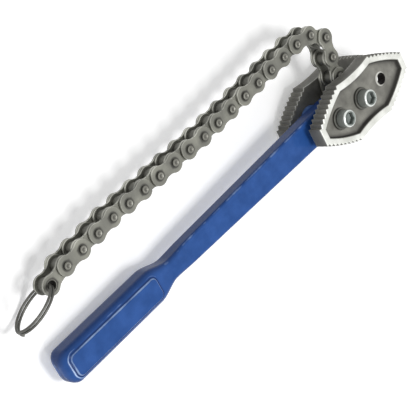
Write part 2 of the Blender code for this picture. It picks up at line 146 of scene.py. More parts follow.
def shell(grid, wrap_rows=False, **marks):
    """A closed shell from a grid (rows, columns, 3). Open ends get a fan to the middle of their loop.

    A mark is a number for every point of the grid, and a hub takes the mean of its loop.
    """
    rows, columns = grid.shape[:2]
    points = grid.reshape(-1, 3)
    faces = [grid_faces(rows, columns, wrap_rows)]
    marks = {name: np.broadcast_to(value, (rows, columns)).ravel() for name, value in marks.items()}
    if not wrap_rows:
        hub = len(points)
        faces += [turned_over(fan(0, columns, hub)), fan(hub - columns, columns, hub + 1)]
        points = np.vstack([points, grid[0].mean(0), grid[-1].mean(0)])
        marks = {
            name: np.append(value, [value[:columns].mean(), value[-columns:].mean()])
            for name, value in marks.items()
        }
    faces = np.vstack(faces)
    if volume(points, faces) < 0:
        faces = turned_over(faces)
    return points, faces, marks


block = shell(np.array([[(1, 1, z), (-1, 1, z), (-1, -1, z), (1, -1, z)] for z in (0, 3)], float))
print("volume of a block of 2 by 2 by 3:", round(float(volume(*block[:2])), 3))

# %% Put shells in place
def gather(shells):
    """Several shells as one set of points, faces and marks."""
    starts = np.cumsum([0] + [len(points) for points, _, _ in shells])
    names = sorted({name for _, _, marks in shells for name in marks})
    points = np.vstack([points for points, _, _ in shells])
    faces = np.vstack([faces + start for (_, faces, _), start in zip(shells, starts)])
    marks = {
        name: np.concatenate([found.get(name, np.zeros(len(part))) for part, _, found in shells])
        for name in names
    }
    return points, faces, marks


def place(shells, origin=BOLT, heading=0.0):
    """Turns shells about the vertical by a heading, then moves them from millimetres to their place.

    The new point is the rotation matrix of the heading times the old one, plus the origin.
    """
    points, faces, marks = gather(shells)
    turn = np.array([[cos(heading), -sin(heading), 0], [sin(heading), cos(heading), 0], [0, 0, 1]])
    return points @ turn.T * MM + origin, faces, marks


print("the block placed on the front bolt reaches to:", np.round(place([block])[0].max(0), 4))

# %% Meshes and pieces
SHARP = 35


def write_mesh(name, points, faces, marks):
    """Arrays written into a mesh: four-sided faces first, then triangles, then the marks of the points."""
    mesh = bpy.data.meshes.new(name)
    pointed = faces[:, 2] == faces[:, 3]
    mesh.from_pydata(points.tolist(), [], faces[~pointed].tolist() + faces[pointed, :3].tolist())
    for mark, values in marks.items():
        mesh.attributes.new(mark, "FLOAT", "POINT").data.foreach_set("value", values.astype(np.float32))
    return mesh


def add_object(name, data):
    """A mesh, light or camera as an object of the scene."""
    item = bpy.data.objects.new(name, data)
    bpy.context.scene.collection.objects.link(item)
    return item


def add_piece(name, mesh, body, material, stands_for, sharp=SHARP):
    """Dresses a mesh and lets it ride on its body in place of a plain node."""
    mesh.materials.clear()
    mesh.materials.append(material)
    mesh.shade_smooth()
    mesh.set_sharp_from_angle(angle=radians(sharp))
    piece = add_object(name, mesh)
    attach(piece, body)
    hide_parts(stands_for)
    return piece


def make_piece(name, placed, body, material, stands_for, sharp=SHARP):
    """A piece straight from placed arrays."""
    return add_piece(name, write_mesh(name, *placed), body, material, stands_for, sharp)


print("edges are drawn sharp from an angle of", SHARP, "degrees, unless a piece says otherwise")

# %% [markdown]
# ## Node groups that several finishes share
#
# Steel, enamel and plating all need the same things: a fine grain, edges made paler by wear and painted
# highlight, and corners made darker by painted shade and grime. Each could be built again in every material.
# As a node group with named sockets it is built once, and each material sets its own values. The surfaces
# carry two marks worked out with their shapes: `edge` is 1 on a corner that gets rubbed, and on the handle
# and the screw heads also where a painted highlight lies, and `hollow` is 1 where painted shade and grime
# darken the surface.

# %% Helpers for nodes
def add(tree, kind, links=None, values=None, **settings):
    """One node with its settings, its plain values and its incoming links."""
    node = tree.nodes.new("ShaderNode" + kind)
    for name, value in settings.items():
        setattr(node, name, value)
    for socket, value in (values or {}).items():
        node.inputs[socket].default_value = value
    for socket, source in (links or {}).items():
        tree.links.new(source, node.inputs[socket])
    return node


def new_group(name, inputs, outputs):
    """An empty node group with its sockets, and the two nodes through which values come in and go out."""
    tree = bpy.data.node_groups.new(name, "ShaderNodeTree")
    for label, kind, value in inputs:
        socket = tree.interface.new_socket(name=label, in_out="INPUT", socket_type="NodeSocket" + kind)
        if value is not None:
            socket.default_value = value
    for label, kind in outputs:
        tree.interface.new_socket(name=label, in_out="OUTPUT", socket_type="NodeSocket" + kind)
    return tree, tree.nodes.new("NodeGroupInput"), tree.nodes.new("NodeGroupOutput")


def build_grain():
    """Fine speckle and broad clouds: one noise at a scale, and one at a fourteenth of it."""
    sockets = [("Point", "Vector", None), ("Scale", "Float", 900.0)]
    tree, given, result = new_group("metal_grain", sockets, [("Fine", "Float"), ("Broad", "Float")])
    point, scale = given.outputs["Point"], given.outputs["Scale"]
    slower = add(tree, "Math", {0: scale}, {1: 0.07}, operation="MULTIPLY").outputs[0]
    fine = add(tree, "TexNoise", {"Vector": point, "Scale": scale}, {"Detail": 4.0})
    broad = add(tree, "TexNoise", {"Vector": point, "Scale": slower}, {"Detail": 3.0})
    tree.links.new(fine.outputs["Fac"], result.inputs["Fine"])
    tree.links.new(broad.outputs["Fac"], result.inputs["Broad"])
    return tree


GRAIN = build_grain()
print("grain group, nodes:", len(GRAIN.nodes))

# %% Rubbed edges and settled dirt
def build_rubbed_and_highlight():
    """Where an edge is paled by wear and painted highlight: edge mark plus 0.9 times (grain minus a half),
    through a soft threshold.
    """
    sockets = [
        ("Edge", "Float", 0.0), ("Grain", "Float", 0.5), ("Start", "Float", 0.55), ("Softness", "Float", 0.2),
    ]
    tree, given, result = new_group("rubbed_and_highlit_edge", sockets, [("Mask", "Float")])
    start = given.outputs["Start"]
    uneven = add(tree, "Math", {0: given.outputs["Grain"]}, {1: 0.9, 2: -0.45}, operation="MULTIPLY_ADD")
    total = add(tree, "Math", {0: given.outputs["Edge"], 1: uneven.outputs[0]}, operation="ADD")
    end = add(tree, "Math", {0: start, 1: given.outputs["Softness"]}, operation="ADD")
    ramp = add(tree, "MapRange", {"Value": total.outputs[0], "From Min": start, "From Max": end.outputs[0]})
    tree.links.new(ramp.outputs["Result"], result.inputs["Mask"])
    return tree


def build_shade_and_dirt():
    """Where painted shade and grime darken: hollow mark times (0.6 plus 0.8 times the cloud) times the amount,
    up to 1.
    """
    sockets = [("Hollow", "Float", 0.0), ("Cloud", "Float", 0.5), ("Amount", "Float", 0.8)]
    tree, given, result = new_group("painted_shade_and_dirt", sockets, [("Mask", "Float")])
    cloudy = add(tree, "Math", {0: given.outputs["Cloud"]}, {1: 0.8, 2: 0.6}, operation="MULTIPLY_ADD")
    thinned = add(tree, "Math", {0: given.outputs["Hollow"], 1: cloudy.outputs[0]}, operation="MULTIPLY")
    factors = {0: thinned.outputs[0], 1: given.outputs["Amount"]}
    amount = add(tree, "Math", factors, operation="MULTIPLY", use_clamp=True)
    tree.links.new(amount.outputs[0], result.inputs["Mask"])
    return tree


# the first pales edges with wear and painted highlight, the second darkens with painted shade and some grime
RUBBED_AND_HIGHLIGHT, SHADE_AND_DIRT = build_rubbed_and_highlight(), build_shade_and_dirt()
print("rubbed group, nodes:", len(RUBBED_AND_HIGHLIGHT.nodes), "dirt group, nodes:", len(SHADE_AND_DIRT.nodes))

# %% Round spots
def build_spot():
    """A spot about an upright axis: 1 where the level distance is within a radius, fading to 0 past it."""
    sockets = [
        ("Point", "Vector", None), ("Centre", "Vector", None),
        ("Radius", "Float", 0.01), ("Softness", "Float", 0.002),
    ]
    tree, given, result = new_group("round_spot", sockets, [("Mask", "Float")])
    radius = given.outputs["Radius"]
    level = add(tree, "VectorMath", {0: given.outputs["Point"]}, {1: (1.0, 1.0, 0.0)}, operation="MULTIPLY")
    away = add(tree, "VectorMath", {0: level.outputs[0], 1: given.outputs["Centre"]}, operation="DISTANCE")
    end = add(tree, "Math", {0: radius, 1: given.outputs["Softness"]}, operation="ADD")
    fade = add(
        tree, "MapRange", {"Value": away.outputs["Value"], "From Min": radius, "From Max": end.outputs[0]},
        {"To Min": 1.0, "To Max": 0.0}, interpolation_type="SMOOTHSTEP",
    )
    tree.links.new(fade.outputs["Result"], result.inputs["Mask"])
    return tree


SPOT = build_spot()
print("node groups:", [group.name for group in bpy.data.node_groups])

# %% [markdown]
# ## The finishes
#
# A finish here is a base tone, a second tone that clouds it, a pale tone for edges and a dark tone for the
# hollows. The pale tone is worn metal and worn paint, and on the handle and the screw heads also a painted
# highlight; the dark tone is painted shade with some grime. All four are mixed before they reach the shader,
# and the edge mask steers roughness and metal too, so that a rubbed edge is both brighter and smoother, as it
# is on a used tool. A bump of the fine grain gives the surface its bite. Painted pictures wrapped round each
# piece could do the same, but they would have to be drawn again for every new shape.

# %% Tones and masks
def tone(red, green, blue):
    """A display colour, 0 to 255, as the linear colour that a shader takes.

    A dark share is divided by 12.92. Any other has 0.055 added, is divided by 1.055 and raised to 2.4.
    """
    share = np.array([red, green, blue]) / 255
    linear = np.where(share <= 0.04045, share / 12.92, ((share + 0.055) / 1.055) ** 2.4)
    return (*linear.tolist(), 1.0)


def mixed(tree, factor, first, second):
    """A colour between two: each may be a fixed tone or the output of another node."""
    node = add(tree, "Mix", {"Factor": factor}, data_type="RGBA")
    for socket, colour in ((6, first), (7, second)):
        if isinstance(colour, tuple):
            node.inputs[socket].default_value = colour
        else:
            tree.links.new(colour, node.inputs[socket])
    return node.outputs[2]


def blended(tree, factor, low, high):
    """A number that goes from low to high with a mask; low may be the output of another node."""
    links = {"Value": factor}
    values = {"To Max": high}
    if isinstance(low, float):
        values["To Min"] = low
    else:
        links["To Min"] = low
    return add(tree, "MapRange", links, values).outputs["Result"]


print("display grey 128 as a linear share:", round(tone(128, 128, 128)[0], 3))

# %% One recipe for every finish
# the stretch of a noise's values that is spread over the whole step from 0 to 1
CLOUD_FROM, CLOUD_TO = 0.35, 0.68
SPECKLE_FROM, SPECKLE_TO = 0.3, 0.75
SPECKLE_STRENGTH = 0.35
ROUGHNESS_SWING = 0.05
GRAIN_DEPTH = 0.2 * MM


def finish_masks(tree, point, scale, start, softness, shade_and_dirt_amount):
    """Fine grain, broad clouds, edges paled by wear and painted highlight, and painted shade with grime: the
    outputs of the shared groups.
    """
    edge = add(tree, "Attribute", attribute_name="edge").outputs["Fac"]
    hollow = add(tree, "Attribute", attribute_name="hollow").outputs["Fac"]
    grain = add(tree, "Group", {"Point": point}, {"Scale": scale}, node_tree=GRAIN)
    fine, broad = grain.outputs["Fine"], grain.outputs["Broad"]
    threshold = {"Start": start, "Softness": softness}
    rubbed_and_highlight = add(tree, "Group", {"Edge": edge, "Grain": broad}, threshold, node_tree=RUBBED_AND_HIGHLIGHT)
    shade_and_dirt_mask = add(tree, "Group", {"Hollow": hollow, "Cloud": broad}, {"Amount": shade_and_dirt_amount}, node_tree=SHADE_AND_DIRT)
    return fine, broad, rubbed_and_highlight.outputs["Mask"], shade_and_dirt_mask.outputs["Mask"]


def spotted(tree, point, colour, spots):
    """A colour with round spots of painted shade and of painted highlight, each a centre, a radius, a softness
    and a tone.
    """
    for centre, radius, fade, spot_tone in spots:
        sizes = {"Centre": (*centre, 0.0), "Radius": radius, "Softness": fade}
        spot = add(tree, "Group", {"Point": point}, sizes, node_tree=SPOT)
        colour = mixed(tree, spot.outputs["Mask"], colour, spot_tone)
    return colour


def make_finish(name, base, cloud, rubbed_and_highlight, shade_and_dirt, rough, rough_rubbed, metal, metal_rubbed, scale, bump,
                start=0.55, softness=0.25, shade_and_dirt_amount=0.8, ground=None, ground_dull=None, ground_rough=0.35,
                spots=(), **constant):
    """A metal or enamel finish from four tones, two roughnesses and two amounts of bare metal.

    Each mix goes from one value to the next by a mask: clouds, speckle, spots, ground faces, painted shade
    with grime, then edges paled by wear and painted highlight.
    """
    material = bpy.data.materials.new(name)
    material.use_nodes = True
    tree = material.node_tree
    point = add(tree, "TexCoord").outputs["Object"]
    fine, broad, edge_lightening, shade_and_dirt_mask = finish_masks(tree, point, scale, start, softness, shade_and_dirt_amount)
    clouds = add(tree, "MapRange", {"Value": broad}, {"From Min": CLOUD_FROM, "From Max": CLOUD_TO})
    speckle = add(tree, "MapRange", {"Value": fine}, {"From Min": SPECKLE_FROM, "From Max": SPECKLE_TO})
    colour = mixed(tree, clouds.outputs["Result"], base, cloud)
    colour = mixed(tree, blended(tree, speckle.outputs["Result"], 0.0, SPECKLE_STRENGTH), colour, base)
    colour = spotted(tree, point, colour, spots)
    roughness = blended(tree, fine, rough - ROUGHNESS_SWING, rough + ROUGHNESS_SWING)
    if ground:
        face = add(tree, "Attribute", attribute_name="ground").outputs["Fac"]
        ground_tone = mixed(tree, clouds.outputs["Result"], ground, ground_dull or ground)
        colour = mixed(tree, face, colour, ground_tone)
        roughness = blended(tree, face, roughness, ground_rough)
    # painted shade, with some grime, darkens the hollows
    colour = mixed(tree, shade_and_dirt_mask, colour, shade_and_dirt)
    height = add(tree, "Bump", {"Height": fine}, {"Strength": bump, "Distance": GRAIN_DEPTH})
    # edges grow paler with wear, and on the handle and the screw heads with a painted highlight
    steered = {
        "Base Color": mixed(tree, edge_lightening, colour, rubbed_and_highlight),
        "Roughness": blended(tree, edge_lightening, roughness, rough_rubbed),
        "Metallic": blended(tree, edge_lightening, metal, metal_rubbed),
        "Normal": height.outputs["Normal"],
    }
    shader = tree.nodes["Principled BSDF"]
    for socket, output in steered.items():
        tree.links.new(output, shader.inputs[socket])
    for socket, value in constant.items():
        shader.inputs[socket.replace("_", " ")].default_value = value
    print("finish:", name, "nodes:", len(tree.nodes))
    return material


print("the grain is up to", GRAIN_DEPTH / MM, "mm deep")

# %% [markdown]
# ### Blue enamel
#
# The handle is sprayed with blue enamel, which is glossy and a little uneven like the skin of an orange. Its
# pale lines along the panel's edge, the shank's corners and the butt's crease are worn paint with a painted
# highlight, and its sides and the foot of the panel's step are darkened by painted shade. A metal under clear
# paint would turn grey where it mirrors a white room, so the base is not metal, its own shine is low, and a
# thin clear coat gives the gloss.

# %% Enamel for the handle
ENAMEL = make_finish(
    "gloss_blue_enamel",
    # the pale tone is worn paint and painted highlight; the dark tone is painted shade on the sides and the
    # step's foot
    base=tone(36, 75, 138), cloud=tone(48, 88, 156), rubbed_and_highlight=tone(172, 198, 236), shade_and_dirt=tone(10, 26, 70),
    rough=0.34, rough_rubbed=0.26, metal=0.0, metal_rubbed=0.0, scale=1400.0, bump=0.35,
    start=0.55, softness=0.6, shade_and_dirt_amount=0.8, Specular_IOR_Level=0.1, Coat_Weight=0.16, Coat_Roughness=0.18,
)

# %% [markdown]
# ### Blasted jaw steel
#
# The jaws are forged and blasted to an even grey, and then their rims are ground bright; the rim's near-white
# tone is also a painted reflection of the light. A painted shade rings each washer and fills the spare hole,
# and a painted highlight lies on one side of that hole's chamfer. The ground rim is a mark of the shape,
# because it follows the outline. The rings and spots are round about the bolt axes and the spare hole, which
# no outline knows of.

# %% Steel for the jaws
REAR_BOLT = 27.0
BOLT_AXES = [(BOLT[0] + reach * MM, BOLT[1]) for reach in (0.0, -REAR_BOLT)]
SPARE_HOLE = (BOLT[0] + REAR_BOLT * MM, BOLT[1])
# centre of a painted highlight on the lit side of the spare hole's chamfer
SPARE_HOLE_HIGHLIGHT = (SPARE_HOLE[0] - 1.1 * MM, SPARE_HOLE[1] + 0.6 * MM)
JAW_STEEL = make_finish(
    "blasted_jaw_steel",
    # the dark tone is painted shade on the recess wall and the side walls
    base=tone(108, 107, 101), cloud=tone(147, 146, 138), rubbed_and_highlight=tone(236, 238, 232), shade_and_dirt=tone(40, 38, 36),
    rough=0.6, rough_rubbed=0.42, metal=0.3, metal_rubbed=0.4, scale=1300.0, bump=0.5,
    start=0.6, softness=0.4, shade_and_dirt_amount=0.82,
    # the near-white ground tone is ground steel and also a painted reflection of the light on the rim
    ground=tone(242, 243, 238), ground_dull=tone(208, 209, 202), ground_rough=0.5,
    spots=[
        # painted shade round each washer
        *[(axis, 8.0 * MM, 1.0 * MM, tone(84, 83, 78)) for axis in BOLT_AXES],
        # painted highlight on one side of the spare hole's chamfer
        (SPARE_HOLE_HIGHLIGHT, 5.0 * MM, 0.8 * MM, tone(205, 205, 198)),
        # painted shade inside the spare hole
        (SPARE_HOLE, 4.5 * MM, 0.1 * MM, tone(44, 41, 39)),
    ],
)

# %% [markdown]
# ### Chain steel, zinc plating and black oxide
#
# The chain is plain steel kept dark by its oil, brighter only on its edges and on the ends of its pins, with
# painted shade round the pins, in the bores and between the plates. The screws and nuts are plated with zinc,
# so they are pale and smooth; painted shade darkens their grooves, and a painted highlight lines each screw
# head's chamfer. The washers and the ring are blackened, with painted shade under the heads and between the
# coils. Photographs of real metal could be used for each, but the one recipe with other values keeps them of
# one family, as on a tool that has aged in one box.

# %% Steel for the chain, the fasteners and the ring
CHAIN_STEEL = make_finish(
    "oiled_chain_steel",
    # the dark tone is painted shade round the pins, in the bores and between the plates
    base=tone(112, 112, 105), cloud=tone(141, 141, 131), rubbed_and_highlight=tone(192, 192, 182), shade_and_dirt=tone(36, 35, 32),
    rough=0.5, rough_rubbed=0.38, metal=0.45, metal_rubbed=0.6, scale=1100.0, bump=0.25,
    start=0.62, softness=0.45, ground=tone(122, 121, 113), ground_rough=0.42,
)
PLATED_STEEL = make_finish(
    "zinc_plated_steel",
    # the pale tone is wear and a painted highlight on the screw heads' chamfers; the dark tone is painted
    # shade
    base=tone(170, 175, 171), cloud=tone(186, 191, 187), rubbed_and_highlight=tone(232, 236, 232), shade_and_dirt=tone(53, 57, 56),
    rough=0.34, rough_rubbed=0.26, metal=0.6, metal_rubbed=0.6, scale=1500.0, bump=0.15,
    start=0.6, softness=0.35, shade_and_dirt_amount=0.95, ground=tone(131, 138, 134), ground_rough=0.5,
)
BLACK_OXIDE = make_finish(
    "black_oxide_steel",
    # the dark tone is painted shade at the washers' inner edges and between the coils of the ring
    base=tone(84, 84, 79), cloud=tone(100, 100, 94), rubbed_and_highlight=tone(149, 149, 142), shade_and_dirt=tone(27, 27, 25),
    rough=0.45, rough_rubbed=0.34, metal=0.5, metal_rubbed=0.7, scale=1200.0, bump=0.2,
    start=0.7, softness=0.5,
)

# %% [markdown]
# ## The forged handle
#
# The handle is one forging: a thick grip with a raised panel on each face, a narrow neck, a flat shank that
# widens towards the head, and a thinner tongue that ends in a round eye. It could be modelled from a box
# with a subdivision surface, but its sections are all rounded rectangles, so a grid of sections along the
# bar is closer to how it is forged. The panel is raised by pushing the face outwards inside a rounded
# rectangle.

# %% Sections of the handle
# how far behind the front bolt the grip ends, the neck is narrowest and the shank begins
SHOULDER, NECK, SHANK = 229.0, 208.0, 186.0
REAR_BOSS = 11.2
BUTT = (BOLT[0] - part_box("handle")[0][0]) / MM
# half width, half thickness and corner radius of the grip, neck, shank, head and tongue
HANDLE_SIZES = np.array([
    [12.7, 9.9, 6.2], [7.7, 7.5, 3.5], [8.8, 6.0, 2.2], [12.0, 6.0, 2.2], [11.5, 5.8, 2.2],
])


def eased(share):
    """An S-shaped step: 3 s squared minus 2 s cubed, with s held between 0 and 1."""
    share = np.clip(share, 0, 1)
    return share * share * (3 - 2 * share)


def handle_sizes(reach):
    """Half width, half thickness and corner radius at a distance behind the front bolt.

    Each is the grip's own, plus every change from one stretch to the next times the share of it that is done.
    """
    shares = np.array([
        eased((SHOULDER - reach) / (SHOULDER - NECK)),
        eased((NECK - reach) / (NECK - SHANK)),
        np.clip((SHANK - reach) / (SHANK - REAR_BOLT), 0, 1),
        eased((REAR_BOLT + REAR_BOSS - reach) / (2 * REAR_BOSS)),
    ])
    return HANDLE_SIZES[0, :, None] + np.diff(HANDLE_SIZES, axis=0).T @ shares


print("half width at the rear bolt:", round(float(handle_sizes(np.array([REAR_BOLT]))[0, 0]), 2), "mm")

# %% Walk round a section
FACE_POINTS, SIDE_POINTS, CORNER_POINTS = 40, 8, 26
CROWDING = 1.6


def rounded_walk(flats, corner):
    """Tables for one walk round a rounded rectangle: which corner centre, as two shares, and the direction.

    Corner angles crowd towards the top and the bottom, where the edge of the panel runs: each is a right
    angle times a share, counted from there and raised to the power of the crowding.
    """
    centres = np.array([[1, 1], [-1, 1], [-1, -1], [1, -1], [1, 1]], float)
    climb = np.linspace(0, 1, corner, endpoint=False)
    rising = pi / 2 * (1 - (1 - climb) ** CROWDING)
    falling = pi / 2 * climb**CROWDING
    centre, angle = [], []
    for quarter in range(4):
        here, following = centres[quarter], centres[quarter + 1]
        share = np.linspace(0, 1, flats[quarter % 2], endpoint=False)[:, None]
        centre += [np.repeat(here[None], corner, 0), here + (following - here) * share]
        turn = falling if quarter % 2 else rising
        angle += [quarter * pi / 2 + turn, np.full(len(share), (quarter + 1) * pi / 2)]
    return np.vstack(centre), np.concatenate(angle)


WALK = rounded_walk((FACE_POINTS, SIDE_POINTS), CORNER_POINTS)
print("points round one section:", len(WALK[1]))

# %% Stations along the handle
BUTT_ROUND, BUTT_SECTIONS = 8.0, 40
EYE_RADIUS, EYE_END, EYE_SECTIONS = 11.5, radians(86), 16
# where a stretch of sections starts and how many it has, from the butt to the front bolt
STRETCHES = [
    (BUTT_ROUND - BUTT, 10), (BUTT_ROUND + 3 - BUTT, 26), (-SHOULDER - 4, 30), (-SHOULDER + 3.5, 34),
    (-SHANK, 34), (-REAR_BOLT - REAR_BOSS, 24), (0.0, 0),
]


def handle_stations():
    """Distances ahead of the front bolt, closer together where the shape changes quickly.

    At the butt they are its radius times 1 minus the cosine of a steady turn, at the eye its radius times
    the sine.
    """
    turn = np.linspace(0, pi / 2, BUTT_SECTIONS, endpoint=False)
    butt = BUTT_ROUND * (1 - np.cos(turn)) - BUTT
    stretches = [
        np.linspace(start, end, count, endpoint=False)
        for (start, count), (end, _) in zip(STRETCHES, STRETCHES[1:])
    ]
    nose = EYE_RADIUS * np.sin(np.linspace(0, EYE_END, EYE_SECTIONS))
    return np.concatenate([butt, *stretches, nose])


print("sections along the handle:", len(handle_stations()))

# %% The panel, its wear and its painted light and shade
PANEL_RAISE, PANEL_EDGE = 0.9, 0.9
# back, front, half width and corner radius of the panel's outline
PANEL = (5.6 - BUTT, 2.5 - SHOULDER, 8.5, 4.0)
# how far outside the panel's outline the crease's painted highlight and the painted shade at the foot of the
# step lie, and their width
CREASE_AT, FOOT_AT, LINE_WIDTH = 1.5, 0.3, 0.6


def panel_distance(x, y):
    """Signed distance to the panel's rounded rectangle: negative inside it, zero on its outline."""
    back, front, half, corner = PANEL
    out_x = np.abs(x - (back + front) / 2) - ((front - back) / 2 - corner)
    out_y = np.abs(y) - (half - corner)
    outside = np.hypot(np.maximum(out_x, 0), np.maximum(out_y, 0))
    return outside + np.minimum(np.maximum(out_x, out_y), 0) - corner


def bell(value, middle, width):
    """A soft line: e to the power of minus the square of (value minus middle) over width."""
    return np.exp(-((value - middle) / width) ** 2)


def handle_wear_and_painted_light(x, outline, upright, angle, corner):
    """How worn and how shaded each point is painted: lines at set distances from the panel's outline.

    The edge mark is the largest of the section's tight corners, the panel's step and the crease outside it,
    which is marked more near the butt: worn paint with a painted highlight. The hollow mark is painted shade
    at the foot of the step and on the two sides.
    """
    tight = np.clip((6.5 - corner) / 3.5, 0.25, 1)[:, None]
    # the tight corners and the panel's step get pale lines of worn paint and painted highlight
    rounding = 0.6 * tight * np.abs(np.sin(2 * angle))
    step = bell(outline, -PANEL_EDGE / 2, 0.6 * PANEL_EDGE)
    near_butt = np.clip((BUTT_ROUND * 2 - BUTT - x) / (BUTT_ROUND * 1.5), 0, 1)
    # the crease where the butt's rounding meets the face is a painted highlight
    crease = (0.6 + 0.5 * near_butt) * bell(outline, CREASE_AT, LINE_WIDTH)
    # painted shade at the foot of the step and on the two sides
    foot = upright * (outline > 0) * bell(outline, FOOT_AT, LINE_WIDTH)
    sides = 0.7 * np.cos(angle) ** 2
    return np.maximum(rounding, upright * np.maximum(step, crease)), np.maximum(foot, sides)


print("panel length:", round(PANEL[1] - PANEL[0], 1), "mm, width:", 2 * PANEL[2], "mm")

# %% The handle's surface
def handle_shell():
    """Sections of a rounded rectangle along the bar: corner centre plus corner radius times the direction.

    The butt is drawn in by a quarter circle, the front is cut by the circle of the eye, and inside the
    panel's outline the face is moved to the panel's level.
    """
    stations = handle_stations()
    width, thickness, corner = handle_sizes(np.maximum(-stations, 0))
    past = np.maximum(BUTT_ROUND - BUTT - stations, 0)
    pulled = BUTT_ROUND - np.sqrt(np.maximum(BUTT_ROUND**2 - past**2, 0))
    eye = np.sqrt(np.maximum(EYE_RADIUS**2 - np.maximum(stations, 0) ** 2, 0))
    width = np.where(stations > 0, eye, width - pulled)
    thickness = thickness - pulled
    corner = np.minimum(corner - pulled / 2, 0.95 * np.minimum(width, thickness))
    centre, angle = WALK
    x = np.repeat(stations[:, None], len(angle), 1)
    y = (width - corner)[:, None] * centre[:, 0] + corner[:, None] * np.cos(angle)
    z = (thickness - corner)[:, None] * centre[:, 1] + corner[:, None] * np.sin(angle)
    outline = panel_distance(x, y)
    upright = np.abs(np.sin(angle)) > 0.3
    inside = upright * (1 - eased((outline + PANEL_EDGE) / PANEL_EDGE))
    level = np.sign(z) * (HANDLE_SIZES[0, 1] + PANEL_RAISE)
    edge, hollow = handle_wear_and_painted_light(x, outline, upright, angle, corner)
    return shell(np.stack([x, y, z + (level - z) * inside], -1), edge=edge, hollow=hollow)


print("handle's volume without its bosses:", round(float(volume(*handle_shell()[:2])) / 1000, 1), "cm3")

# %% [markdown]
# ### Turned shapes
#
# Bosses, washers, bushes and pins are all turned on a lathe. A Screw modifier would spin a profile too, but
# here each point of the profile also brings its own wear, so the profile is carried round as an array. The
# handle's two bosses are the first: round pads through the head, on which the jaws sit.

# %% Bosses, and the finished handle
FRONT_BOSS = 7.0


def turned(profile, sides=64, closed_loop=False, centre=(0.0, 0.0), **marks):
    """A surface of revolution: each radius times the cosine and the sine of a turn, at its own height."""
    profile = np.array(profile, float)
    angle = np.arange(sides) * 2 * pi / sides
    x = profile[:, :1] * np.cos(angle) + centre[0]
    y = profile[:, :1] * np.sin(angle) + centre[1]
    z = np.repeat(profile[:, 1:2], sides, 1)
    marks = {name: np.array(value, float)[:, None] for name, value in marks.items()}
    return shell(np.stack([x, y, z], -1), closed_loop, **marks)


def boss_shell(reach, radius, level=11.0, soft=0.5):
    """A round pad through the head, softened at both rims, that carries the jaws."""
    profile = [
        (radius - soft, -level), (radius, soft - level), (radius, level - soft), (radius - soft, level),
    ]
    return turned(profile, centre=(-reach, 0.0), edge=[0.3, 0.6, 0.6, 0.3])


handle = make_piece(
    "forged_handle", place([handle_shell(), boss_shell(0.0, FRONT_BOSS), boss_shell(REAR_BOLT, REAR_BOSS)]),
    "handle_and_jaws", ENAMEL, "handle",
)
print("handle from butt to front bolt:", round(BUTT, 1), "mm")

# %% [markdown]
# ## The toothed jaws
#
# Each jaw is a forged plate with blunt ends, a hollow waist and four bulged, toothed flanks, so that it can
# be turned round when its teeth wear. Its outer face has a wide recess inside a rim that is ground bright.
# It could be cut from a block with many Booleans. A profile carried round the outline gives every rolled
# edge at once: at each step of the profile the outline is moved inwards by a distance, and the teeth fade
# out as it leaves the side wall. Only the three bolt holes are then cut with a Boolean.

# %% Outline and profile of a jaw
JAW_CORNERS = np.array([
    [52.5, 7.2], [20.0, 24.0], [-20.0, 24.0], [-52.5, 7.2],
    [-52.5, -7.2], [-20.0, -24.0], [20.0, -24.0], [52.5, -7.2],
])
# how far each side bows out: flank, waist, flank, end, and the same again
JAW_BOW = [1.1, -1.7, 1.1, 0.0] * 2
RECESS_FLOOR = 8.0
# inset, height, weight of the teeth, ground face, rubbed edge, hollow (painted shade on the recess wall and
# the side walls)
JAW_PROFILE = np.array([
    [9.0, 0.0, 0.0, 0.0, 0.0, 0.3], [2.4, 0.0, 0.0, 0.0, 0.0, 0.2], [0.45, 0.0, 1.0, 0.0, 0.5, 0.0],
    [0.1, 0.1, 1.0, 0.0, 0.9, 0.0], [0.0, 0.45, 1.0, 0.0, 0.4, 0.1], [0.0, 2.0, 1.0, 0.0, 0.0, 0.4],
    [0.0, 6.0, 1.0, 0.0, 0.0, 0.45], [0.0, 10.0, 1.0, 0.0, 0.0, 0.3], [0.0, 11.3, 1.0, 0.1, 0.4, 0.1],
    [0.15, 11.75, 1.0, 0.8, 1.0, 0.0], [0.55, 12.0, 1.0, 1.0, 0.8, 0.0], [1.4, 12.0, 0.7, 1.0, 0.3, 0.0],
    [2.6, 12.0, 0.0, 1.0, 0.1, 0.0], [4.4, 12.0, 0.0, 1.0, 0.1, 0.0], [5.0, 11.9, 0.0, 1.0, 0.4, 0.0],
    [5.4, 11.6, 0.0, 0.5, 0.4, 0.3], [5.65, 11.1, 0.0, 0.0, 0.0, 0.9], [5.8, 9.6, 0.0, 0.0, 0.0, 1.0],
    [6.0, 8.7, 0.0, 0.0, 0.0, 1.0], [6.4, 8.2, 0.0, 0.0, 0.0, 1.0], [7.2, RECESS_FLOOR, 0.0, 0.0, 0.0, 0.6],
    [8.6, RECESS_FLOOR, 0.0, 0.0, 0.0, 0.15], [10.5, RECESS_FLOOR, 0.0, 0.0, 0.0, 0.0],
])


def mitres(corners):
    """How far each corner moves, in x and y, when all sides move inwards by 1.

    It is the sum of the two inward normals, divided by that sum's own share along one of them.
    """
    along = np.roll(corners, -1, 0) - corners
    along /= np.linalg.norm(along, axis=1, keepdims=True)
    inward = np.stack([-along[:, 1], along[:, 0]], -1)
    both = inward + np.roll(inward, 1, 0)
    return both / (both * inward).sum(1, keepdims=True)


print("jaw length:", JAW_CORNERS[0, 0] - JAW_CORNERS[3, 0], "mm, height:", JAW_PROFILE[:, 1].max(), "mm")

# %% Teeth along the flanks
TEETH, TOOTH_DEPTH = 9, 1.7
# the tip and the root of a tooth are cut flat by these shares of its slope
FLAT_TIP, FLAT_ROOT = 0.04, 0.08
POINTS_PER_TOOTH, POINTS_PER_PLAIN_SIDE = 12, 24


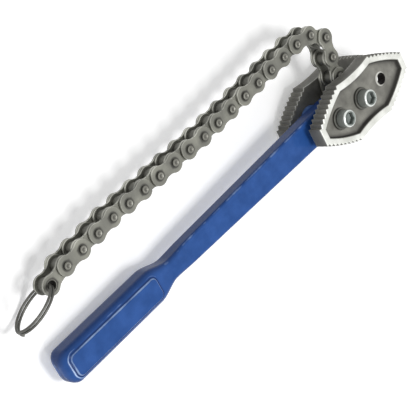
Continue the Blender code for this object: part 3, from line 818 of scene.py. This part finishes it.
def jaw_grid():
    """Points of a jaw: along each side a parabola of bow, less a zigzag of teeth on the four flanks.

    With s from 0 to 1 along the side, the bow is 4 s (1 - s), and the zigzag is 1 minus the distance of
    2 times the share of a tooth from 1.
    """
    moves = mitres(JAW_CORNERS)
    inset = JAW_PROFILE[:, 0, None, None]
    sides = []
    for side, bow in enumerate(JAW_BOW):
        following = (side + 1) % len(JAW_CORNERS)
        start = JAW_CORNERS[side] + moves[side] * inset
        along = JAW_CORNERS[following] + moves[following] * inset - start
        outward = np.array([along[0, 0, 1], -along[0, 0, 0]]) / np.linalg.norm(along[0, 0])
        toothed = side % 2 == 0
        count = TEETH * POINTS_PER_TOOTH if toothed else POINTS_PER_PLAIN_SIDE
        share = np.linspace(0, 1, count, endpoint=False)[None, :, None]
        slope = 1 - np.abs(1 - 2 * (share * TEETH % 1))
        zigzag = np.clip((1 + FLAT_TIP + FLAT_ROOT) * slope - FLAT_TIP, 0, 1) * toothed
        depth = TOOTH_DEPTH * zigzag * JAW_PROFILE[:, 2, None, None]
        sides.append(start + along * share + outward * (4 * bow * share * (1 - share) - depth))
    flat = np.concatenate(sides, 1)
    return np.concatenate([flat, np.repeat(JAW_PROFILE[:, 1, None, None], flat.shape[1], 1)], -1)


print("rows and columns of a jaw:", jaw_grid().shape[:2])

# %% Cut the bolt holes and fit the jaws
JAW_FOOT = 11.3
JAW_SHARP = 32
# radius and height of the tool that cuts a hole with a broken edge
HOLE_TOOL = [(4.5, -1.0), (4.5, RECESS_FLOOR - 0.4), (5.4, RECESS_FLOOR + 0.02), (5.4, RECESS_FLOOR + 1.0)]


def bored(blank, cutters):
    """The mesh of one set of arrays after others have been cut from it."""
    work = add_object("blank", write_mesh("blank", *blank))
    tools = [add_object("cutter", write_mesh("cutter", *arrays)) for arrays in cutters]
    for tool in tools:
        cut = work.modifiers.new("cut", "BOOLEAN")
        cut.operation, cut.solver, cut.object = "DIFFERENCE", "EXACT", tool
    result = bpy.data.meshes.new_from_object(work.evaluated_get(bpy.context.evaluated_depsgraph_get()))
    for item in [work, *tools]:
        bpy.data.objects.remove(item)
    return result


def jaw_mesh():
    """A jaw in millimetres, lying on its flat face, with three countersunk bolt holes."""
    columns = (("ground", 3), ("edge", 4), ("hollow", 5))
    blank = shell(jaw_grid(), **{mark: JAW_PROFILE[:, column, None] for mark, column in columns})
    return bored(blank, [turned(HOLE_TOOL, centre=(x, 0.0)) for x in (-REAR_BOLT, 0.0, REAR_BOLT)])


for name, turn in (("upper_jaw", 0.0), ("lower_jaw", pi)):
    mesh = jaw_mesh()
    side = Matrix.Translation(BOLT.tolist()) @ Matrix.Rotation(turn, 4, "X")
    mesh.transform(side @ Matrix.Scale(MM, 4) @ Matrix.Translation((0, 0, JAW_FOOT)))
    add_piece(f"toothed_{name}", mesh, "handle_and_jaws", JAW_STEEL, name, JAW_SHARP)
    print(name, "faces:", len(mesh.polygons))

# %% [markdown]
# ## Screws, washers and nuts
#
# Two socket cap screws hold the jaws. A screw head is nearly a turned shape: only its socket is a hexagon
# and its side is knurled. The socket could be cut and the knurl left to a bump, but here both are written
# as a radius that depends on direction: a hexagon's radius is half its width divided by the cosine of the
# angle from the nearest flat, and the knurl is a product of two fine waves that wind round opposite ways.

# %% Socket screws
WASHER_THICKNESS, SEATING_GAP = 1.6, 0.3
WASHER_FOOT = JAW_FOOT + RECESS_FLOOR + SEATING_GAP
SCREW_SEAT = WASHER_FOOT + WASHER_THICKNESS + SEATING_GAP
SCREW_END, SCREW_TOP = -28.5, SCREW_SEAT + 8.0
HEAD_RADIUS, SHANK_RADIUS, SOCKET_HALF = 6.5, 4.0, 4.0
KNURL_WAVES, KNURL_WIND, KNURL_DEPTH = 36, 5.0, 0.16
KNURL_FOOT, KNURL_HEIGHT = SCREW_SEAT + 0.6, 6.0
# radius, height, share of hexagon, knurl, rubbed edge with a painted highlight on the chamfer, hollow as
# painted shade under the head, in the knurl and in the socket, duller face
SCREW_PROFILE = np.array([
    [SHANK_RADIUS - 0.8, SCREW_END, 0, 0, 0.5, 0, 0], [SHANK_RADIUS - 0.1, SCREW_END + 0.7, 0, 0, 0.5, 0, 0],
    [SHANK_RADIUS, SCREW_SEAT, 0, 0, 0, 0, 0], [HEAD_RADIUS - 0.3, SCREW_SEAT, 0, 0, 0.2, 0.9, 0],
    [HEAD_RADIUS, SCREW_SEAT + 0.3, 0, 0, 0.0, 0.9, 0],
    *[
        [HEAD_RADIUS, KNURL_FOOT + KNURL_HEIGHT * share, 0, 1, 0.3, 0.35 * (1 - share), 0]
        for share in np.linspace(0, 1, 24)
    ],
    [HEAD_RADIUS, SCREW_TOP - 1.1, 0, 0, 0.4, 0, 0], [HEAD_RADIUS - 0.15, SCREW_TOP - 0.65, 0, 0, 0.8, 0, 0],
    [HEAD_RADIUS - 0.5, SCREW_TOP - 0.25, 0, 0, 1.0, 0, 0], [HEAD_RADIUS - 0.9, SCREW_TOP, 0, 0, 0.9, 0, 0.1],
    [HEAD_RADIUS - 1.4, SCREW_TOP, 0, 0, 0.3, 0, 0.8],
    [SOCKET_HALF + 0.75, SCREW_TOP - 0.05, 0.3, 0, 0.2, 0.1, 1.0],
    [SOCKET_HALF + 0.35, SCREW_TOP - 0.3, 0.8, 0, 0.2, 0.1, 1.0],
    [SOCKET_HALF, SCREW_TOP - 0.7, 1, 0, 0.1, 0.2, 1.0], [SOCKET_HALF, SCREW_TOP - 3.8, 1, 0, 0, 0.5, 1.0],
    [SOCKET_HALF - 0.4, SCREW_TOP - 4.1, 1, 0, 0, 0.4, 1.0], [0.6, SCREW_TOP - 4.2, 0, 0, 0, 0.2, 1.0],
])


def hexagon(angle, flats):
    """Radius of a hexagon by direction: half its width, divided by the cosine to the nearest flat."""
    nearest = (angle + pi / 6) % (pi / 3) - pi / 6
    return flats / 2 / np.cos(nearest)


def screw_shell(x):
    """A socket cap screw: shank, knurled head with a chamfer, flat top ring and a hexagonal socket."""
    sides = 8 * KNURL_WAVES
    angle = np.arange(sides) * 2 * pi / sides
    radius, height, share, knurl, edge, hollow, duller = SCREW_PROFILE.T[:, :, None]
    left, right = (np.cos(KNURL_WAVES * angle + wind * height) for wind in (KNURL_WIND, -KNURL_WIND))
    round_part = radius - KNURL_DEPTH * knurl * (1 - left * right)
    spread = round_part + (radius * hexagon(angle, 2.0) - round_part) * share
    points = np.stack([x + spread * np.cos(angle), spread * np.sin(angle), height + 0 * angle], -1)
    return shell(points, edge=edge, hollow=hollow, ground=duller)


print("screw:", SCREW_TOP - SCREW_END, "mm over all, its seat at", round(SCREW_SEAT, 2), "mm")

# %% Washers and nuts
WASHER_HOLE, WASHER_RADIUS, WASHER_ROLL = 4.3, 8.0, 0.3
NUT_FLATS, NUT_HEIGHT = 13.0, 6.5
# radius of the turned blank, height above the nut's lower face, rubbed edge
NUT_PROFILE = np.array([
    [4.3, 0, 0.3], [6.3, 0, 0.2], [6.6, 0.05, 0.6], [7.6, 0.6, 0.4], [7.6, 1.4, 0.2], [7.6, 3.2, 0.1],
    [7.6, 5.1, 0.2], [7.6, 5.9, 0.4], [6.6, 6.45, 0.6], [6.3, NUT_HEIGHT, 0.2], [4.9, NUT_HEIGHT, 0.4],
    [4.3, 5.9, 0.5],
])


def washer_shell(x, foot):
    """A flat washer: one closed loop of profile, with a rolled outer rim."""
    top, flat = foot + WASHER_THICKNESS, WASHER_RADIUS - WASHER_ROLL
    loop = [
        (WASHER_HOLE, foot), (flat, foot), (WASHER_RADIUS, foot + WASHER_ROLL),
        (WASHER_RADIUS, top - WASHER_ROLL), (flat, top), (WASHER_HOLE, top),
    ]
    # the hollow mark is painted shade at the washer's inner edge and on its rim
    edge, hollow = [0, 0.3, 0.7, 0.8, 0.8, 0], [0, 0, 0.2, 0.2, 0.1, 0.6]
    return turned(loop, 72, True, (x, 0.0), edge=edge, hollow=hollow)


def nut_shell(x):
    """A hexagon nut: the smaller of the hexagon's radius and the blank's, which gives the arched chamfers."""
    angle = np.arange(144) * 2 * pi / 144
    spread = np.minimum(NUT_PROFILE[:, :1], hexagon(angle, NUT_FLATS))
    z = -SCREW_SEAT - NUT_HEIGHT + NUT_PROFILE[:, 1:2] + 0 * angle
    points = np.stack([x + spread * np.cos(angle), spread * np.sin(angle), z], -1)
    return shell(points, True, edge=NUT_PROFILE[:, 2, None] * 1.2, hollow=0.15)


print("nut over its corners:", round(float(hexagon(pi / 6, NUT_FLATS)) * 2, 1), "mm before the chamfer")

# %% Put the fasteners in
for spot, x in (("front", 0.0), ("rear", -REAR_BOLT)):
    lower_washer = washer_shell(x, -WASHER_FOOT - WASHER_THICKNESS)
    for label, shape, finish, node, slot, sharp in (
        ("socket_screw", screw_shell(x), PLATED_STEEL, "cap_screw", "screw_steel", 50),
        ("upper_washer", washer_shell(x, WASHER_FOOT), BLACK_OXIDE, "head_washer", "black_steel", SHARP),
        ("lower_washer", lower_washer, BLACK_OXIDE, "nut_washer", "black_steel", SHARP),
        ("hexagon_nut", nut_shell(x), PLATED_STEEL, "nut", "screw_steel", 30),
    ):
        made = make_piece(
            f"{spot}_{label}", place([shape]), "handle_and_jaws", finish, f"{spot}_{node}", sharp
        )
        print(made.name, "faces:", len(made.data.polygons))

# %% [markdown]
# ## The chain
#
# Inner links are two plates pressed on two bushes. Outer links are two plates riveted on two pins. A plate
# could be a flat outline with a Solidify and a Bevel modifier. But it has two holes, and wear follows both,
# so each half of it is worked out in polar form about its own hole: at each direction the grid runs from
# the hole to the plate's outline or to the seam across the waist. The other half is its mirror image.

# %% Outlines of the plates
PITCH, PLATE_RADIUS, PLATE_WAIST = 15.875, 7.0, 4.9
ANCHOR_LENGTH, ANCHOR_EYE, ANCHOR_BORE, ANCHOR_SEAM = 20.0, 10.85, 7.35, 12.6


def arc_points(centre, radius, start, end, count):
    """Points on an arc: centre plus radius times the cosine and sine of evenly spaced angles."""
    angle = np.linspace(start, end, count)
    return np.stack([centre[0] + radius * np.cos(angle), centre[1] + radius * np.sin(angle)], -1)


def waisted_half():
    """Boundary of half a waisted plate round its hole at 0, 0: seam, hollow flank, round end, flank.

    The flank's radius f makes its arc touch the end's: (waist + f) squared plus (pitch / 2) squared is
    (end's radius + f) squared.
    """
    half = PITCH / 2
    flank = (half**2 + PLATE_WAIST**2 - PLATE_RADIUS**2) / (2 * (PLATE_RADIUS - PLATE_WAIST))
    height = PLATE_WAIST + flank
    meeting = np.arctan2(height, half)
    seam = np.stack([np.full(9, half), np.linspace(-PLATE_WAIST, PLATE_WAIST, 9)], -1)
    upper = arc_points((half, height), flank, -pi / 2, meeting - pi, 10)
    end = arc_points((0, 0), PLATE_RADIUS, meeting, 2 * pi - meeting, 40)
    lower = arc_points((half, -height), flank, pi - meeting, pi / 2, 10)
    return np.vstack([part[:-1] for part in (seam, upper, end, lower)])


def anchor_halves():
    """Boundaries of the anchor plate's two halves: a seam across it, then one round end with its tangents.

    With t as the tangent's direction, its line is x cos t + y sin t = radius of the eye.
    """
    tangent = np.arccos((ANCHOR_EYE - PLATE_RADIUS) / ANCHOR_LENGTH)
    reach = (ANCHOR_EYE - ANCHOR_SEAM * np.cos(tangent)) / np.sin(tangent)
    seam = np.stack([np.full(13, ANCHOR_SEAM), np.linspace(-reach, reach, 13)], -1)
    eye = arc_points((0, 0), ANCHOR_EYE, tangent, 2 * pi - tangent, 60)
    small = arc_points((ANCHOR_LENGTH, 0), PLATE_RADIUS, tangent, -tangent, 40)
    return np.vstack([seam, eye]), np.vstack([seam, small])


print("points round half a waisted plate:", len(waisted_half()))

# %% A plate from two halves
PIN_HOLE, BUSH_HOLE = 2.7, 3.95
# how far the rounded rim is drawn in, and how near two numbers are that count as one
RIM, TOUCHING = 0.28, 1e-6
# share of the way from hole to outline, top or foot, drawn in, lift, rubbed edge, hollow (painted shade round
# the pin and under the plate)
PLATE_PROFILE = np.array([
    [0.0, 0, 0.0, 0.0, 0.2, 1.0], [0.0, 1, 0.0, 0.0, 0.2, 1.0], [0.17, 1, 0.0, 0.0, 0.0, 1.0],
    [0.4, 1, 0.0, 0.0, 0.0, 0.15], [0.9, 1, 0.0, 0.0, 0.2, 0.0], [1.0, 1, 1.0, 0.0, 0.8, 0.0],
    [1.0, 1, 0.3, -0.7, 1.0, 0.0], [1.0, 0, 0.3, 0.7, 0.6, 0.3], [1.0, 0, 1.0, 0.0, 0.4, 0.5],
    [0.5, 0, 0.0, 0.0, 0.0, 0.6],
])


def half_plate(boundary, seam, hole_at, hole, foot, top):
    """Half a plate: rows run up the hole's wall, out over the top, down the side and back below.

    A point is the hole's centre plus the direction to the boundary times (hole radius + share of the rest).
    """
    centre = np.array([hole_at, 0.0])
    offset = boundary - centre
    reach = np.linalg.norm(offset, axis=1)
    unit = offset / reach[:, None]
    rim = (np.abs(boundary[:, 0] - seam) > TOUCHING) * RIM
    share, upper, drawn, lift, edge, hollow = PLATE_PROFILE.T[:, :, None]
    distance = hole + (reach - hole) * share - rim * drawn
    level = foot + (top - foot) * upper + lift * rim
    grid = np.concatenate([centre + unit * distance[..., None], level[..., None]], -1)
    edge_lightening = edge * ((rim > 0) | (share < 0.9))
    points, faces, marks = shell(grid, True, edge=edge_lightening, hollow=hollow)
    on_seam = (np.abs(points[faces][:, :, 0] - seam) < TOUCHING).all(1)
    return points, faces[~on_seam], marks


def mirrored(half, about):
    """The mirror image of a half across a seam, with its faces turned so that they still point outwards."""
    points, faces, marks = half
    return points * [-1, 1, 1] + [2 * about, 0, 0], turned_over(faces), marks


def repeat_last(faces):
    """Faces turned, corner by corner, until one that holds the same corner twice has the repeat at its end."""
    for _ in range(3):
        early = (faces == np.roll(faces, -1, 1)).any(1) & (faces[:, 2] != faces[:, 3])
        faces[early] = np.roll(faces[early], 1, 1)
    return faces


def welded(halves):
    """Two halves as one shell: points that agree to a thousandth of a millimetre become one.

    At the seam the rounded rim shrinks to nothing, so there a four-sided face becomes a triangle.
    """
    points, faces, marks = gather(halves)
    _, first, same = np.unique(np.round(points, 3), axis=0, return_index=True, return_inverse=True)
    faces = repeat_last(same.reshape(-1)[faces])
    return points[first], faces, {name: values[first] for name, values in marks.items()}


def waisted_plate(foot, top, hole):
    """A waisted plate: one half round its hole, and that half's mirror image."""
    seam = PITCH / 2
    half = half_plate(waisted_half(), seam, 0.0, hole, foot, top)
    return welded([half, mirrored(half, seam)])


def anchor_plate(foot, top):
    """A plate with a large eye for the handle's boss and a small end for the first pin."""
    eye, small = anchor_halves()
    return welded([
        half_plate(eye, ANCHOR_SEAM, 0.0, ANCHOR_BORE, foot, top),
        half_plate(small, ANCHOR_SEAM, ANCHOR_LENGTH, PIN_HOLE, foot, top),
    ])


print("volume of a plate 2 mm thick:", round(float(volume(*waisted_plate(0.0, 2.0, PIN_HOLE)[:2]))), "mm3")

# %% Pins and bushes
BORE, END_BORE, PIN_END, BUSH_END = 3.1, 3.4, 9.8, 5.85
# radius, depth below the pin's end, rubbed edge, hollow as painted shade in the dimple and on the pin's side,
# duller face: from the dimple outwards
PIN_PROFILE = np.array([
    [0.4, 0.45, 0.1, 0.7, 1], [1.1, 0.4, 0.2, 0.6, 1], [1.55, 0.1, 0.7, 0.2, 1], [2.0, 0.0, 0.6, 0, 1],
    [2.4, 0.18, 0.5, 0.1, 0.8], [2.74, 0.55, 0.1, 0.8, 0.2], [2.74, 1.5, 0, 1, 0], [2.72, 1.68, 0, 1, 0],
])
# radius, height, rubbed edge, hollow as painted shade in the bore and where the bush meets the plates: down
# the outside of a bush
BUSH_PROFILE = np.array([
    [3.9, BUSH_END, 0.6, 0.2], [4.0, 5.6, 0.3, 0.4], [4.0, 3.9, 0.0, 0.9], [5.0, 3.6, 0.3, 0.5],
    [5.0, -3.6, 0.3, 0.5], [4.0, -3.9, 0.0, 0.9], [4.0, -5.6, 0.3, 0.4], [3.9, -BUSH_END, 0.6, 0.2],
])


def pin_shell(x):
    """A riveted pin: its ends are peened over into low domes with a dimple."""
    steps = np.vstack([PIN_PROFILE, PIN_PROFILE[::-1]])
    side = np.repeat([-1.0, 1.0], len(PIN_PROFILE))
    profile = np.stack([steps[:, 0], side * (PIN_END - steps[:, 1])], -1)
    return turned(profile, 32, False, (x, 0.0), edge=steps[:, 2], hollow=steps[:, 3], ground=steps[:, 4])


def bush_shell(x, bore=BORE):
    """A bush: a tube between the inner plates, its ends pressed flush through them."""
    steps = np.vstack([[bore, -BUSH_END, 0.3, 0.9], [bore, BUSH_END, 0.3, 0.9], BUSH_PROFILE])
    return turned(steps[:, :2], 40, True, (x, 0.0), edge=steps[:, 2], hollow=steps[:, 3])


print("pin over its domes:", 2 * PIN_END, "mm, bush:", 2 * BUSH_END, "mm")

# %% Whole links
# foot and top of a link's upper and lower plate
INNER_PLATES = [(3.8, 5.8), (-5.8, -3.8)]
OUTER_PLATES = [(6.1, 8.1), (-8.1, -6.1)]


def chain_link(number):
    """Shells of one link, counted from the handle: outer links are odd, inner links are even."""
    if number == 1:
        return [*[anchor_plate(*levels) for levels in OUTER_PLATES], pin_shell(ANCHOR_LENGTH)]
    if number % 2:
        plates = [waisted_plate(*levels, PIN_HOLE) for levels in OUTER_PLATES]
        return [*plates, pin_shell(0.0), pin_shell(PITCH)]
    far_bore = END_BORE if number == LINK_COUNT else BORE
    plates = [waisted_plate(*levels, BUSH_HOLE) for levels in INNER_PLATES]
    return [*plates, bush_shell(0.0), bush_shell(PITCH, far_bore)]


for number, name in enumerate(LINKS, 1):
    placed = place(chain_link(number), PINS[number - 1], HEADINGS[number - 1])
    label = "anchor_eye_link" if number == 1 else f"chain_{name}"
    made = make_piece(label, placed, name, CHAIN_STEEL, name)
print("links:", len(LINKS), "faces of the last:", len(made.data.polygons))

# %% [markdown]
# ## The split ring
#
# The last bush carries a split ring: two coils of spring wire side by side, each end lying against the
# other coil. A torus could stand in for it, but it would have no ends. So it is a nearly round section
# carried along a short helix, which leans and turns a little, as a ring does that lies loose in its bush.

# %% Sweep the ring
RING_RADIUS, WIRE, COIL_RISE = 18.1, 0.9, 2.1
RING_LEAN, RING_TURN, RING_SHARP = radians(10.0), radians(6.6), 60
# the ring curves inside the bush, so it is moved back by half that curve
RING_BACK = (RING_RADIUS - (RING_RADIUS**2 - INNER_PLATES[0][1] ** 2) ** 0.5) / 2
# how square the wire is: a circle has a power of 1, and a lower one fills the corners
WIRE_POWER, WIRE_FIT = 0.75, 0.94


def ring_shell():
    """A section carried along two turns: at each angle the centre is on a circle, moved sideways by the turn.

    The section is the cosine and sine of a walk round the wire, raised to a power with their signs kept.
    """
    turns = np.linspace(0, 2, 289)
    angle = 2 * pi * turns
    outward = np.stack([np.cos(angle), 0 * angle, np.sin(angle)], -1)
    sideways = np.array([0.0, 1.0, 0.0])
    rise = sideways * (COIL_RISE * (turns - 1))[:, None]
    centre = RING_RADIUS * outward + rise + [RING_RADIUS - RING_BACK, 0, 0]
    spin = np.arange(20) * 2 * pi / 20
    waves = np.cos(spin), np.sin(spin)
    flat, tall = (WIRE * WIRE_FIT * np.sign(wave) * np.abs(wave) ** WIRE_POWER for wave in waves)
    points = centre[:, None] + outward[:, None] * flat[:, None] + sideways * tall[:, None]
    lean = np.array([[1, 0, 0], [0, cos(RING_LEAN), -sin(RING_LEAN)], [0, sin(RING_LEAN), cos(RING_LEAN)]])
    edge_lightening = 0.35 + 0.3 * np.cos(spin)
    # painted shade where the two coils lie against each other
    between = 0.5 * np.exp(-4 * np.cos(spin) ** 2)
    return shell(points @ lean.T, edge=edge_lightening, hollow=between)


make_piece(
    "split_key_ring", place([ring_shell()], PINS[-1], HEADINGS[-1] + RING_TURN),
    "split_ring", BLACK_OXIDE, "split_ring", RING_SHARP,
)
print("ring:", 2 * RING_RADIUS, "mm across")

# %% [markdown]
# ## The table
#
# The tool lies on three points: the end of its front screw, the butt of its grip and its ring. The table is
# the plane through them, let down until no other piece goes through it. Tilting the tool onto a level table
# would look the same, but the table is the piece that may be moved: the working model stays where it is.

# %% A plane under three points
GRIP_FROM = 250 * MM
# for each metre towards the tool's free side, a point may be this much of a metre higher and still carry it
SIDE_SHARE = 0.12
TABLE_GAP = 0.3 * MM


def points_of(piece):
    """All points of a finished piece as an array."""
    flat = np.empty(3 * len(piece.data.vertices))
    piece.data.vertices.foreach_get("co", flat)
    return flat.reshape(-1, 3)


def lowest(cloud, sideways=0.0):
    """The lowest point of a cloud: the least of height plus a share of the distance along y."""
    return cloud[np.argmin(cloud[:, 2] + sideways * cloud[:, 1])]


screw, ring = (points_of(bpy.data.objects[name]) for name in ("front_socket_screw", "split_key_ring"))
grip = points_of(handle)
grip = grip[grip[:, 0] < BOLT[0] - GRIP_FROM]
supports = np.array([lowest(screw), lowest(ring), lowest(grip, SIDE_SHARE)])
upright = np.cross(supports[1] - supports[0], supports[2] - supports[0])
upright *= np.sign(upright[2]) / np.linalg.norm(upright)
everything = np.vstack([points_of(piece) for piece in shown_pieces() if piece.type == "MESH"])
drop = ((everything - supports[0]) @ upright).min()
table_middle = supports.mean(0) + upright * (drop - TABLE_GAP)
tilt = Vector(upright).to_track_quat("Z", "Y").to_matrix().to_4x4()
print("table tilts by degrees:", round(float(np.degrees(np.arccos(upright[2]))), 1))
print("let down by mm:", round(-drop / MM, 2))

# %% [markdown]
# ### Its surface
#
# The table is nearly white, with a faint unevenness. In the photograph it is lost in the white backdrop
# except for the shadow. More light would bleach the tool as well, so the table glows a little instead, but
# only for rays that see it: from the camera, off something glossy or through glass. Rays that light the
# tool find it plain, and the shadow stays.

# %% The table's material
TABLE_GLOW = 0.25
TABLE_HALF = 6


def seen_rays(tree):
    """1 for rays that see things, 0 for rays that light: the largest of camera, glossy and transmission."""
    rays = add(tree, "LightPath").outputs
    seen = add(tree, "Math", {0: rays["Is Camera Ray"], 1: rays["Is Glossy Ray"]}, operation="MAXIMUM")
    seen = add(tree, "Math", {0: seen.outputs[0], 1: rays["Is Transmission Ray"]}, operation="MAXIMUM")
    return seen.outputs[0]


def table_material():
    """A pale table whose glow is the seen rays times a small share."""
    material = bpy.data.materials.new("pale_table")
    material.use_nodes = True
    tree = material.node_tree
    shader = tree.nodes["Principled BSDF"]
    point = add(tree, "TexCoord").outputs["Object"]
    noise = add(tree, "TexNoise", {"Vector": point}, {"Scale": 60.0, "Detail": 3.0})
    colour = mixed(tree, noise.outputs["Fac"], tone(246, 246, 246), tone(252, 252, 252))
    glow = add(tree, "Math", {0: seen_rays(tree)}, {1: TABLE_GLOW}, operation="MULTIPLY")
    tree.links.new(colour, shader.inputs["Base Color"])
    tree.links.new(glow.outputs[0], shader.inputs["Emission Strength"])
    shader.inputs["Emission Color"].default_value = (1.0, 1.0, 1.0, 1.0)
    shader.inputs["Roughness"].default_value = 0.75
    return material


square = TABLE_HALF * np.array([[-1, -1, 0], [1, -1, 0], [1, 1, 0], [-1, 1, 0]], float)
table = add_object("table", write_mesh("table", square, np.array([[0, 1, 2, 3]]), {}))
table.data.materials.append(table_material())
table.matrix_world = Matrix.Translation(Vector(table_middle)) @ tilt
print("table:", 2 * TABLE_HALF, "m square")

# %% [markdown]
# ## The light
#
# The photograph has a white backdrop and soft, plain light. A white room round the tool gives both: at full
# strength for the rays that see it, at half strength for those that light the tool, so that colours come
# out about as they are written. A soft box nearly overhead adds the faint shadow, and a weaker one from the
# side of the butt adds glints along the handle and the screws, on top of the painted highlights there.

# %% A white room and two soft boxes
ROOM_LIGHT, ROOM_SEEN = 0.5, 1.0
BOX_DISTANCE = 1.6

world = bpy.data.worlds.new("studio")
bpy.context.scene.world = world
world.use_nodes = True
room = world.node_tree
backdrop = room.nodes["Background"]
backdrop.inputs["Color"].default_value = (1.0, 1.0, 1.0, 1.0)
strength = add(room, "MapRange", {"Value": seen_rays(room)}, {"To Min": ROOM_LIGHT, "To Max": ROOM_SEEN})
room.links.new(strength.outputs["Result"], backdrop.inputs["Strength"])


def soft_light(name, direction, size, power):
    """A square soft box in a direction from the middle of the tool, looking back at it."""
    data = bpy.data.lights.new(name, "AREA")
    data.energy, data.size = power, size
    lamp = add_object(name, data)
    lamp.location = Vector(direction).normalized() * BOX_DISTANCE
    lamp.rotation_euler = Vector(direction).to_track_quat("Z", "Y").to_euler()
    print(name, "size:", size, "m, power:", power, "W")
    return lamp


soft_light("key_box", (0.0, -0.05, 1.0), 0.4, 12.0)
soft_light("edge_box", (-0.52, -0.43, 0.74), 0.2, 3.5)

# %% [markdown]
# ## The camera
#
# The photograph was taken from above and from the butt's side with a long lens, which keeps the jaws and
# the grip in proportion. The camera could be aimed with a constraint. Three turns and a place are plainer,
# and they were found by laying the pins, the jaws and the handle of the model over those of the photograph.

# %% Place the camera
CAMERA_TURNS = (-1.497, -40.759, -35.315)
CAMERA_FROM_BOLT = (-0.69289, 0.42472, 0.78786)
LENS, SENSOR = 127.861, 36.0

camera_data = bpy.data.cameras.new("camera")
camera_data.lens, camera_data.sensor_width = LENS, SENSOR
camera = add_object("camera", camera_data)
camera.rotation_euler = [radians(turn) for turn in CAMERA_TURNS]
camera.location = Vector(CAMERA_FROM_BOLT) + Vector(BOLT)
bpy.context.scene.camera = camera
bpy.context.scene.view_settings.view_transform = "Standard"
print("camera to front bolt:", round(Vector(CAMERA_FROM_BOLT).length, 3), "m")
